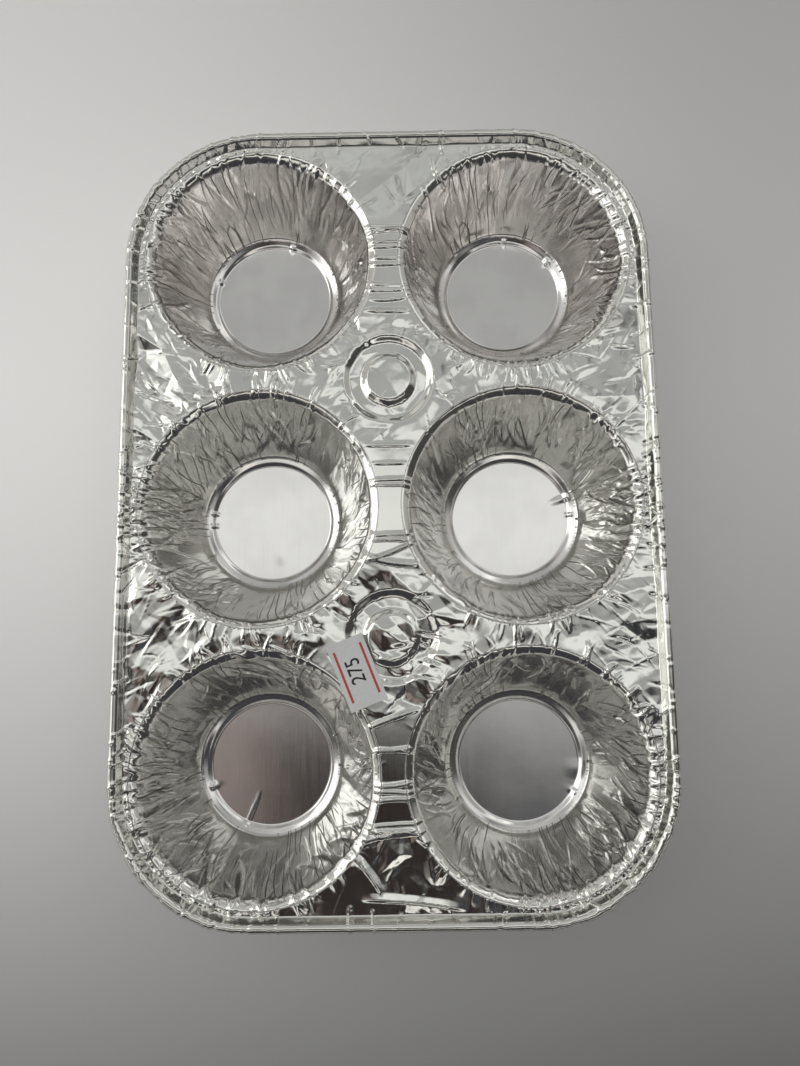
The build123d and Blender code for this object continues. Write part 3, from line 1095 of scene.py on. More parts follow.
def new_group(name, kind, inputs, outputs):
    """Starts a node group with named sockets; returns its tree, inputs and the node that takes its outputs."""
    group = bpy.data.node_groups.new(name, kind)
    for socket, kind_of, *value in inputs:
        item = group.interface.new_socket(socket, in_out="INPUT", socket_type=f"NodeSocket{kind_of}")
        if value:
            item.default_value = value[0]
    for socket, kind_of in outputs:
        group.interface.new_socket(socket, in_out="OUTPUT", socket_type=f"NodeSocket{kind_of}")
    tree = Tree(group)
    return tree, tree.add("NodeGroupInput").outputs, tree.add("NodeGroupOutput")


def evaluate(base, group, values, name):
    """Runs a geometry tree on an object and returns the result as a plain object, with the tree gone."""
    modifier = base.modifiers.new("shape", "NODES")
    modifier.node_group = group
    for item in group.interface.items_tree:
        if item.in_out == "INPUT" and item.name in values:
            modifier[item.identifier] = values[item.name]
    bpy.context.view_layer.update()
    made = base.evaluated_get(bpy.context.evaluated_depsgraph_get())
    mesh = bpy.data.meshes.new_from_object(made)
    base.modifiers.remove(modifier)
    mesh.name = name
    bpy.data.objects.remove(base)
    return link(name, mesh)


def polish(piece):
    """Shades a piece smooth, with its real edges kept sharp."""
    mesh = piece.data
    mesh.polygons.foreach_set("use_smooth", np.ones(len(mesh.polygons), bool))
    mesh.set_sharp_from_angle(angle=SHARP_ANGLE)
    mesh.update()


# Materials


@functools.lru_cache(maxsize=1)
def grain_group():
    """Rolling grain and small crinkles of aluminium foil, as a normal and a change of gloss."""
    tree, given, out = new_group(
        "foil_grain",
        "ShaderNodeTree",
        [
            ("Base normal", "Vector"),
            ("Grain", "Float", 0.3),
            ("Crinkle", "Float", 0.2),
            ("Satin", "Float", 0.2),
        ],
        [("Normal", "Vector"), ("Roughness", "Float"), ("Tone", "Float")],
    )
    place = tree.place()
    rolled = tree.add("ShaderNodeMapping", {"Vector": place, "Scale": (1, 0.02, 1)}).outputs[0]
    grain = tree.noise(rolled, 2600, 3)
    crinkle = tree.noise(place, 420, 4)
    blotch = tree.noise(place, 60, 2)
    dented = tree.bump(given["Crinkle"], 0.0003, crinkle, given["Base normal"])
    bumped = tree.bump(given["Grain"], 0.00004, grain, dented)
    streak = tree.math("MULTIPLY_ADD", grain, 0.08, -0.04)
    spread = tree.math("MULTIPLY_ADD", blotch, 0.04, -0.02)
    gloss = tree.math("ADD", tree.math("ADD", streak, spread), given["Satin"], clamp=True)
    return tree.close(out, {"Normal": bumped, "Roughness": gloss, "Tone": blotch})


@functools.lru_cache(maxsize=1)
def crease_group():
    """Small facets pressed into the foil and the thin creases between them, as a tilted normal and a line."""
    tree, given, out = new_group(
        "small_creases",
        "ShaderNodeTree",
        [
            ("Place", "Vector"),
            ("Width", "Float", 3.0),
            ("Length", "Float", 12.0),
            ("Warp", "Float", 6.0),
            ("Tilt", "Float", 0.1),
            ("Line width", "Float", 0.08),
        ],
        [("Normal", "Vector"), ("Line", "Float"), ("Below lip", "Float")],
    )
    noise = tree.add("ShaderNodeTexNoise", {"Vector": given["Place"], "Scale": 0.035, "Detail": 1})
    shift = tree.vector("SUBTRACT", noise.outputs["Color"], (0.5, 0.5, 0.5))
    moved = tree.vector("ADD", given["Place"], tree.vector("SCALE", shift, given["Warp"]))
    across = tree.math("DIVIDE", 1.0, given["Width"])
    scale = tree.add("ShaderNodeCombineXYZ", {0: across, 1: across, 2: tree.math("DIVIDE", 1.0, given["Length"])})
    cells = tree.vector("MULTIPLY", moved, scale.outputs[0])
    facet = tree.add("ShaderNodeTexVoronoi", {"Vector": cells, "Scale": 1.0}).outputs["Color"]
    below_lip = tree.ramp(tree.split(given["Place"])[2], 1.5, 5.0)
    amount = tree.math("MULTIPLY", given["Tilt"], below_lip)
    tilt = tree.vector("SCALE", tree.vector("SUBTRACT", facet, (0.5, 0.5, 0.5)), amount)
    face = tree.add("ShaderNodeNewGeometry").outputs["Normal"]
    tilted = tree.vector("NORMALIZE", tree.vector("ADD", face, tilt))
    edge = tree.add("ShaderNodeTexVoronoi", {"Vector": cells, "Scale": 1.0}, feature="DISTANCE_TO_EDGE").outputs[0]
    broken = tree.noise(given["Place"], 0.07, 1)
    line = tree.math("MULTIPLY", tree.ramp(edge, 0.0, given["Line width"], 1.0, 0.0), tree.ramp(broken, 0.42, 0.6))
    line = tree.math("MULTIPLY", line, below_lip)
    comb = tree.add("ShaderNodeCombineXYZ", {0: 1.0, 1: 1.0, 2: 0.07})
    streaks = tree.noise(tree.vector("MULTIPLY", moved, comb.outputs[0]), 1.0, 2)
    combed = tree.noise(given["Place"], 0.05, 1)
    combed = tree.math("MULTIPLY", tree.ramp(combed, 0.38, 0.6, 0.15, 0.75), below_lip)
    streaked = tree.bump(combed, 0.00014, streaks, tilted)
    raised = tree.bump(1.0, 0.00025, line, streaked)
    return tree.close(out, {"Normal": raised, "Line": line, "Below lip": below_lip})


def new_material(name):
    """Starts a material; returns it with its shader and its tree."""
    made = bpy.data.materials.new(name)
    made.use_nodes = True
    return made, made.node_tree.nodes["Principled BSDF"], Tree(made.node_tree)


# Painted shade and light: colours that the walls' foil is multiplied by, from the front row of cups (darkest) to the
# back (lightest), and where they change
ROW_PAINTED_SHADES = ((0.815, 0.83, 0.822, 1), (0.98, 1.0, 0.99, 1), (1.035, 1.04, 1.04, 1))
ROW_CHANGES = ((-0.055, -0.03), (0.03, 0.055))
# How much darker the foil is in its dull patches, and how much painted shade darkens it along its small creases
DULL = 0.93
CREASE_SHADE = 0.35
CREASE_SHARE = 0.65


def foil_material(name, roughness, grain, crinkle, creases=None, tint=(1, 1, 1)):
    """Bare rolled aluminium; creases gives the width, length, warp, tilt and line width of small ones, and with them
    adds painted shade along their lines and by row of cups.
    """
    made, shader, tree = new_material(name)
    bare = bpy.context.scene.muffin_tray_foil.colour
    colour = [c * t for c, t in zip(bare, tint)]
    shader.inputs["Metallic"].default_value = 1
    foil = tree.add("ShaderNodeGroup", node_tree=grain_group())
    for key, value in (("Grain", grain), ("Crinkle", crinkle), ("Satin", roughness)):
        foil.inputs[key].default_value = value
    dull = [DULL * c for c in colour]
    shade = tree.mix(tree.ramp(foil.outputs["Tone"], 0.35, 0.65), (*dull, 1), (*colour, 1))
    if creases:
        small = tree.add("ShaderNodeGroup", node_tree=crease_group())
        for key, value in zip(("Width", "Length", "Warp", "Tilt", "Line width"), creases):
            small.inputs[key].default_value = value
        wrap = tree.add("ShaderNodeAttribute", attribute_name="wrap").outputs["Vector"]
        tree.link(wrap, small.inputs["Place"])
        tree.link(small.outputs["Normal"], foil.inputs["Base normal"])
        # Painted shade: the walls are darkened in the front row of cups and lightened in the back row, by place along
        # the tray
        along = tree.split(tree.place())[1]
        row = tree.mix(tree.ramp(along, *ROW_CHANGES[0]), *ROW_PAINTED_SHADES[:2])
        row = tree.mix(tree.ramp(along, *ROW_CHANGES[1]), row, ROW_PAINTED_SHADES[2])
        shade = tree.vector("MULTIPLY", shade, row)
        shade = tree.mix(small.outputs["Below lip"], (*bare, 1), shade)
        satin = tree.math("MULTIPLY_ADD", small.outputs["Below lip"], roughness - LIP_ROUGHNESS, LIP_ROUGHNESS)
        tree.link(satin, foil.inputs["Satin"])
        # Painted shade: the small creases' lines darken the foil's colour
        dark = (*[CREASE_SHADE * c for c in colour], 1)
        shade = tree.mix(tree.math("MULTIPLY", small.outputs["Line"], CREASE_SHARE), shade, dark)
    else:
        face = tree.add("ShaderNodeNewGeometry").outputs["Normal"]
        tree.link(face, foil.inputs["Base normal"])
    tree.link(shade, shader.inputs["Base Color"])
    tree.link(foil.outputs["Roughness"], shader.inputs["Roughness"])
    tree.link(foil.outputs["Normal"], shader.inputs["Normal"])
    return made


def printed_material(name, colour, roughness=0.55, fibre=0.3):
    """Paper or ink, with a fine fibre."""
    made, shader, tree = new_material(name)
    noise = tree.noise(tree.place(), 1500, 3)
    dark = tuple(0.86 * c for c in colour)
    shade = tree.mix(noise, (*dark, 1), (*colour, 1))
    tree.link(shade, shader.inputs["Base Color"])
    tree.link(tree.bump(fibre, 0.00005, noise), shader.inputs["Normal"])
    shader.inputs["Roughness"].default_value = roughness
    return made


@functools.lru_cache(maxsize=None)
def material(kind):
    """Makes each material once."""
    label = bpy.context.scene.muffin_tray_label
    makers = {
        "foil_deck": lambda: foil_material("foil_deck", 0.1, 0.06, 0.02),
        "foil_wall": lambda: foil_material(
            "foil_wall", 0.18, 0.06, 0.02, creases=(4.6, 80, 9, 0.04, 0.05), tint=(0.989, 0.952, 0.988)
        ),
        "foil_floor": lambda: foil_material("foil_floor", 0.145, 0.08, 0.02, tint=(1.02, 1.0, 1.04)),
        "foil_edge": lambda: foil_material("foil_edge", 0.12, 0.08, 0.03),
        "label_paper": lambda: printed_material("label_paper", label.paper),
        "label_line": lambda: printed_material("label_line", label.line, 0.5, 0.1),
        "label_ink": lambda: printed_material("label_ink", (0.02, 0.02, 0.022), 0.5, 0.1),
    }
    return makers[kind]()


# Pieces that follow a rule


def shape_group(name, sizes):
    """Starts a group that takes a shape and its sizes, and gives a shape."""
    return new_group(name, "GeometryNodeTree", [("Geometry", "Geometry"), *sizes], [("Geometry", "Geometry")])


def close_shape(tree, given, out, geometry):
    """Makes a group's shape real, gives it its material and returns the group."""
    real = tree.add("GeometryNodeRealizeInstances", {"Geometry": geometry}).outputs[0]
    done = tree.add("GeometryNodeSetMaterial", {"Geometry": real, "Material": given["Finish"]}).outputs[0]
    return tree.close(out, {"Geometry": done})


def floor_tree():
    """Turns a cup floor's section about the cup's axis: sunk panel, slope and ledge."""
    sizes = [
        ("Ledge radius", "Float"),
        ("Segments", "Int"),
        ("Section", "Object"),
        ("Finish", "Material"),
    ]
    tree, given, out = shape_group("cup_floor", sizes)
    ring = {"Resolution": given["Segments"], "Radius": given["Ledge radius"]}
    circle = tree.add("GeometryNodeCurvePrimitiveCircle", ring).outputs["Curve"]
    upright = tree.add("GeometryNodeSetCurveNormal", {"Curve": circle}, mode="Z_UP").outputs[0]
    section = tree.add("GeometryNodeObjectInfo", {"Object": given["Section"]}).outputs["Geometry"]
    profile = tree.add("GeometryNodeMeshToCurve", {"Mesh": section}).outputs[0]
    swept = tree.add("GeometryNodeCurveToMesh", {"Curve": upright, "Profile Curve": profile}).outputs[0]
    merged = tree.add("GeometryNodeMergeByDistance", {"Geometry": swept, "Distance": 1e-6}).outputs[0]
    return close_shape(tree, given, out, merged)


def bead_tree():
    """Rolls the rim's bead: an open ring of foil carried along the outline, with its crimps."""
    sizes = [
        ("Radius", "Float"),
        ("Foil", "Float"),
        ("Start", "Float"),
        ("Wrap", "Float"),
        ("Rows", "Int"),
        ("Finish", "Material"),
    ]
    tree, given, out = shape_group("rolled_bead", sizes)

    def stored(geometry, name, value, kind):
        values = {"Geometry": geometry, "Name": name, "Value": value}
        return tree.add("GeometryNodeStoreNamedAttribute", values, data_type=kind, domain="POINT").outputs[0]

    def named(name, kind="FLOAT"):
        return tree.add("GeometryNodeInputNamedAttribute", {"Name": name}, data_type=kind).outputs[0]

    path = tree.add("GeometryNodeMeshToCurve", {"Mesh": given["Geometry"]}).outputs[0]
    place = tree.add("GeometryNodeInputPosition").outputs[0]
    axis = stored(path, "axis", place, "FLOAT_VECTOR")
    upright = tree.add("GeometryNodeSetCurveNormal", {"Curve": axis}, mode="Z_UP").outputs[0]
    points = tree.math("MULTIPLY_ADD", given["Rows"], 2.0, 2.0)
    ring = tree.add("GeometryNodeCurvePrimitiveCircle", {"Resolution": points}).outputs["Curve"]
    index = tree.add("GeometryNodeInputIndex").outputs[0]
    back = tree.math("SUBTRACT", tree.math("SUBTRACT", points, 1.0), index)
    share = tree.math("DIVIDE", tree.math("MINIMUM", index, back), given["Rows"])
    inner = tree.math("GREATER_THAN", index, given["Rows"])
    radius = tree.math("SUBTRACT", given["Radius"], tree.math("MULTIPLY", inner, given["Foil"]))
    turn = tree.math("SUBTRACT", given["Start"], tree.math("MULTIPLY", given["Wrap"], share))
    spot = tree.add(
        "ShaderNodeCombineXYZ",
        {
            0: tree.math("MULTIPLY", radius, tree.math("COSINE", turn)),
            1: tree.math("MULTIPLY", radius, tree.math("SINE", tree.math("MULTIPLY", turn, -1.0))),
        },
    ).outputs[0]
    curled = tree.add("GeometryNodeSetPosition", {"Geometry": ring, "Position": spot}).outputs[0]
    section = stored(curled, "share", share, "FLOAT")
    swept = tree.add("GeometryNodeCurveToMesh", {"Curve": upright, "Profile Curve": section}).outputs[0]
    outward = tree.vector("NORMALIZE", tree.vector("SUBTRACT", place, named("axis", "FLOAT_VECTOR")))
    over = tree.ramp(named("share"), 0.0, 0.3)
    crimp = tree.math(
        "ADD",
        tree.math("MULTIPLY", named("start_crimp"), tree.math("SUBTRACT", 1.0, over)),
        tree.math("MULTIPLY", named("outer_crimp"), over),
    )
    offset = tree.vector("SCALE", outward, crimp)
    crimped = tree.add("GeometryNodeSetPosition", {"Geometry": swept, "Offset": offset}).outputs[0]
    return close_shape(tree, given, out, crimped)


def floor_section(foil):
    """Outlines a cup floor's section, from the axis out over the panel and ledge, and back underneath."""
    flat_end = (PANEL_RADIUS - PANEL_CURL - LEDGE_RADIUS, foil)
    slope_foot = (PANEL_RADIUS - LEDGE_RADIUS, foil)
    ring = (RING_PLACE[0] - LEDGE_RADIUS, RING_PLACE[1])
    bent, _, _ = rounded_line([flat_end, slope_foot, ring, (0, LEDGE_HEIGHT)], [PANEL_BEND, RING_BEND], RING_ROWS)
    across = np.linspace(-LEDGE_RADIUS, flat_end[0], PANEL_ROWS, endpoint=False)
    top = np.concatenate([np.column_stack([across, np.full(PANEL_ROWS, foil)]), bent])
    return top, top[::-1] - (0, foil)


# Operators


class TrayOperator:
    """What the operators share."""

    bl_options = {"REGISTER", "UNDO"}


class MUFFIN_OT_walls(TrayOperator, bpy.types.Operator):
    """Makes the six pleated cup walls."""

    bl_idname = "muffin.walls"
    bl_label = "Cup walls"

    def execute(self, context):
        sheet = pressed_sheet()[0]
        for row in ROWS:
            for column in COLUMNS:
                name = f"cup_wall_{row}_{column}"
                piece = foil_solid(f"foil_{name}", sheet.triangles[name])
                seat(piece, material("foil_wall"), "foil_wall", name)
        return {"FINISHED"}


class MUFFIN_OT_deck(TrayOperator, bpy.types.Operator):
    """Makes the creased deck with its rosettes and saddle panels."""

    bl_idname = "muffin.deck"
    bl_label = "Deck"

    def execute(self, context):
        sheet = pressed_sheet()[0]
        panels = [f"saddle_panel_{row}" for row in ROWS]
        for name in ("deck_left", "deck_right", "rosette_front", "rosette_back", *panels):
            piece = foil_solid(f"foil_{name}", sheet.triangles[name])
            seat(piece, material("foil_deck"), "foil_deck", "deck" if name.startswith("deck") else name)
        return {"FINISHED"}


class MUFFIN_OT_floors(TrayOperator, bpy.types.Operator):
    """Makes the six sunk cup floors."""

    bl_idname = "muffin.floors"
    bl_label = "Cup floors"

    def execute(self, context):
        foil = context.scene.muffin_tray_foil.thickness / MM
        top, under = floor_section(foil)
        outline = np.concatenate([top, under])
        group = floor_tree()
        rng = np.random.default_rng(context.scene.muffin_tray_foil.seed + 1)
        for row in ROWS:
            for column in COLUMNS:
                name = f"cup_floor_{row}_{column}"
                mesh = bpy.data.meshes.new("floor_section")
                vertices = [(x * MM, -z * MM, 0) for x, z in outline]
                mesh.from_pydata(vertices, [(i, i + 1) for i in range(len(vertices) - 1)], [])
                section = link("floor_section", mesh)
                values = {
                    "Ledge radius": LEDGE_RADIUS * MM,
                    "Segments": CUP_SEGMENTS,
                    "Section": section,
                    "Finish": material("foil_floor"),
                }
                piece = evaluate(link("floor_base", bpy.data.meshes.new("base")), group, values, f"foil_{name}")
                bpy.data.objects.remove(section)
                self.shape(piece, rng, row, column)
                polish(piece)
                seat(piece, material("foil_floor"), "foil_floor", name)
        return {"FINISHED"}

    def shape(self, piece, rng, row, column):
        """Sets a floor in its cup, slightly uneven and with a few small dents near its edge."""
        points = np.empty(len(piece.data.vertices) * 3)
        piece.data.vertices.foreach_get("co", points)
        points = points.reshape(-1, 3) / MM
        radius, turn = np.hypot(points[:, 0], points[:, 1]), np.arctan2(points[:, 1], points[:, 0])
        inside = 1 - smooth(radius, LEDGE_RADIUS - 1.5, LEDGE_RADIUS)
        phase = rng.uniform(0, 6, 4)
        wave = 0.03 * np.sin(points[:, 0] / 7 + phase[0]) * np.cos(points[:, 1] / 9 + phase[1])
        lift = np.abs(wave) * inside
        for place, near, far, height, width in FLOOR_DENTS[row, column]:
            away = np.abs((turn - math.radians(place) + math.pi) % (2 * math.pi) - math.pi) * radius
            ridge = smooth(width - away, 0, width)
            lift += height * ridge * smooth(radius, near - 2, near + 1) * (1 - smooth(radius, far - 1.5, far))
        points[:, 2] += lift
        points[:, :2] += (COLUMNS[column] * CUP_X, ROWS[row] * CUP_Y)
        piece.data.vertices.foreach_set("co", (points * MM).ravel())
        piece.data.update()


class MUFFIN_OT_rim(TrayOperator, bpy.types.Operator):
    """Makes the crimped step and the rolled bead around the edge."""

    bl_idname = "muffin.rim"
    bl_label = "Rim"

    def execute(self, context):
        sheet, _, (edge, start_crimp, outer_crimp) = pressed_sheet()
        step = foil_solid("foil_rim_step", sheet.triangles["rim_step"])
        seat(step, material("foil_edge"), "foil_edge", "rim_step")
        path = edge.at(BEAD_CENTRE)
        mesh = bpy.data.meshes.new("bead_path")
        vertices = [(x * MM, y * MM, BEAD_HEIGHT * MM) for x, y in path]
        mesh.from_pydata(vertices, [(i, (i + 1) % len(path)) for i in range(len(path))], [])
        for name, values in (("start_crimp", start_crimp), ("outer_crimp", outer_crimp)):
            mesh.attributes.new(name, "FLOAT", "POINT").data.foreach_set("value", values * MM)
        values = {
            "Radius": BEAD_RADIUS * MM,
            "Foil": context.scene.muffin_tray_foil.thickness,
            "Start": BEAD_START,
            "Wrap": BEAD_WRAP,
            "Rows": BEAD_ROWS,
            "Finish": material("foil_edge"),
        }
        bead = evaluate(link("bead_path", mesh), bead_tree(), values, "foil_rolled_rim")
        polish(bead)
        seat(bead, material("foil_edge"), "foil_edge", "rolled_rim")
        return {"FINISHED"}


class MUFFIN_OT_label(TrayOperator, bpy.types.Operator):
    """Makes the price label, its two printed lines and its number."""

    bl_idname = "muffin.label"
    bl_label = "Price label"

    LIFT = 0.12
    THICKNESS = 0.1
    INK = 0.03
    LINE_WIDTH = 0.75
    LINE_SHARES = (-0.36, 0.36)
    LINE_HALF_LENGTH = 8.2
    DIGIT_HEIGHT = 4.6

    def surface(self, along, across):
        """Height of the label's upper face: it bridges the rosette and lifts a little at its corners."""
        curl = 0.35 * smooth(np.abs(along), 6, LABEL_LENGTH / 2) * smooth(np.abs(across), 2, LABEL_WIDTH / 2)
        wave = 0.06 * np.sin(along / 2.6) + 0.04 * np.sin(across / 1.9 + 1)
        return LABEL_LOW[2] + self.LIFT + self.THICKNESS + curl + wave

    def placed(self, along, across, lift):
        """Turns places on the label into places in the tray."""
        cos, sin = math.cos(LABEL_TURN), math.sin(LABEL_TURN)
        x = LABEL_MIDDLE[0] + along * cos - across * sin
        y = LABEL_MIDDLE[1] + along * sin + across * cos
        return np.stack([x, y, self.surface(along, across) + lift], 1) * MM

    def strip(self, name, half_length, half_width, middle_across, thickness, lift, spacing=0.4):
        """Makes a thin closed sheet that follows the label."""
        count_along, count_across = (max(2, round(2 * h / spacing)) for h in (half_length, half_width))
        along = np.linspace(-half_length, half_length, count_along + 1)
        across = middle_across + np.linspace(-half_width, half_width, count_across + 1)
        along, across = (a.ravel() for a in np.meshgrid(along, across, indexing="ij"))
        top = self.placed(along, across, lift)
        vertices = np.concatenate([top, top - (0, 0, thickness * MM)])
        ids = np.arange(len(top)).reshape(count_along + 1, count_across + 1)
        a, b, c, d = (q.ravel() for q in (ids[:-1, :-1], ids[1:, :-1], ids[1:, 1:], ids[:-1, 1:]))
        faces = np.stack([a, b, c, d], 1)
        loop = np.concatenate([ids[:-1, 0], ids[-1, :-1], ids[:0:-1, -1], ids[0, :0:-1]])
        after = np.roll(loop, -1)
        sides = np.stack([loop, loop + len(top), after + len(top), after], 1)
        mesh = bpy.data.meshes.new(name)
        mesh.from_pydata(vertices, [], np.concatenate([faces, faces[:, ::-1] + len(top), sides]).tolist())
        piece = link(name, mesh)
        polish(piece)
        return piece

    def execute(self, context):
        settings = context.scene.muffin_tray_label
        half_length, half_width = LABEL_LENGTH / 2, LABEL_WIDTH / 2
        paper = self.strip("price_label_paper", half_length, half_width, 0, self.THICKNESS, 0)
        seat(paper, material("label_paper"), "label_paper", "price_label")
        for side, share in zip(("left", "right"), self.LINE_SHARES):
            place = share * LABEL_WIDTH
            line = self.strip(
                f"price_label_line_{side}", self.LINE_HALF_LENGTH, self.LINE_WIDTH / 2, place, self.INK, self.INK, 0.35
            )
            seat(line, material("label_line"), "label_paper")
        text = bpy.data.curves.new("price_number", "FONT")
        text.body = settings.number
        text.size = self.DIGIT_HEIGHT * 1.4
        text.align_x, text.align_y = "CENTER", "CENTER"
        text.extrude = self.INK / 2
        text.offset = 0.03
        written = link("price_number", text)
        bpy.context.view_layer.update()
        mesh = bpy.data.meshes.new_from_object(written.evaluated_get(context.evaluated_depsgraph_get()))
        bpy.data.objects.remove(written)
        points = np.empty(len(mesh.vertices) * 3)
        mesh.vertices.foreach_get("co", points)
        x, y, z = points.reshape(-1, 3).T
        turned = self.placed(-x * 0.85 - 0.6, -y, z + self.INK / 2)
        mesh.vertices.foreach_set("co", turned.ravel())
        mesh.update()
        number = link("price_label_number", mesh)
        seat(number, material("label_ink"), "label_paper")
        return {"FINISHED"}


# The camera: its place in millimetres, its turn in degrees, its focal length in pixels of the image's height
CAMERA_PLACE = (4.49, -45.3, 283.5)
CAMERA_TURN = (8.182, 0.448, -0.858)
FOCAL_PIXELS, IMAGE_HEIGHT = 807.3, 1066
SENSOR_HEIGHT = 36
# The lamp, in metres
WINDOW_PLACE = (-1.15, 0.16, 0.9)
WINDOW_SIZE = (0.9, 0.5)
WINDOW_WATTS = 1.5
# What the camera sees past the floor
BACKDROP = (0.62, 0.62, 0.61, 1)
# The floor: its half size in metres, its brightest colour, and how much it glows for the camera and the foil
FLOOR_HALF = 3.0
FLOOR_COLOUR = (0.98, 0.98, 0.963, 1)
FLOOR_GLOW = 0.22
# Panels of the room overhead that the foil mirrors, each over the ones before it: left, right, front and back edge as
# slopes from the tray, softness of the edges, colour
ROOM_PANELS = [
    (-9.0, -2.7, -3.0, 3.0, 0.2, (1.1, 1.08, 1.06)),
    (-2.7, -1.7, -3.0, 3.0, 0.2, (0.45, 0.44, 0.43)),
    (-2.8, -1.6, -0.1, 0.5, 0.1, (1.1, 1.08, 1.06)),
    (-1.4, 1.4, -9.0, -0.8, 0.12, (0.045, 0.045, 0.05)),
    (0.6, 9.0, -1.2, 0.07, 0.12, (0.06, 0.057, 0.055)),
    (-0.8, 0.8, -0.63, -0.40, 0.05, (0.85, 0.82, 0.8)),
    (0.85, 2.0, 0.12, 1.6, 0.15, (0.42, 0.407, 0.394)),
    (0.45, 1.05, 0.95, 1.5, 0.1, (1.5, 1.47, 1.45)),
    (-1.0, -0.35, 1.12, 1.6, 0.08, (0.26, 0.25, 0.245)),
    (0.08, 0.8, -0.63, -0.42, 0.05, (1.1, 1.06, 1.03)),
    (-1.7, -0.8, 0.12, 1.4, 0.15, (0.5, 0.485, 0.475)),
    (0.6, 0.92, 0.1, 1.35, 0.06, (0.8, 0.8, 0.8)),
    (-0.6, -0.2, 0.58, 0.85, 0.05, (0.6, 0.59, 0.58)),
    (0.2, 0.6, 0.58, 0.85, 0.05, (0.6, 0.59, 0.58)),
    (-1.1, -0.6, 0.02, 0.55, 0.06, (1.5, 1.48, 1.45)),
    (-0.75, -0.48, 0.25, 0.6, 0.05, (1.4, 1.38, 1.36)),
    (-0.4, 0.45, 0.85, 1.1, 0.06, (0.42, 0.42, 0.41)),
    (-0.6, 0.7, 0.045, 0.265, 0.06, (0.88, 0.88, 0.875)),
]
# The same for panels whose front and back edges run askew by this slope
PANEL_SKEW = 0.2
SKEWED_PANELS = [
    (-0.35, 0.6, -0.36, -0.22, 0.05, (0.07, 0.063, 0.06)),
    (-0.14, 0.12, -0.45, -0.3, 0.05, (0.07, 0.063, 0.06)),
    (-0.27, -0.12, -0.3, -0.1, 0.05, (0.34, 0.27, 0.25)),
    (-0.185, 0.1, -0.4, -0.095, 0.06, (0.029, 0.023, 0.021)),
    (0.1, 0.5, -0.4, -0.12, 0.06, (0.048, 0.051, 0.058)),
    (0.3, 0.66, -0.45, -0.06, 0.06, (0.03, 0.03, 0.034)),
    (-0.6, -0.34, -0.4, -0.1, 0.06, (0.05, 0.046, 0.044)),
]


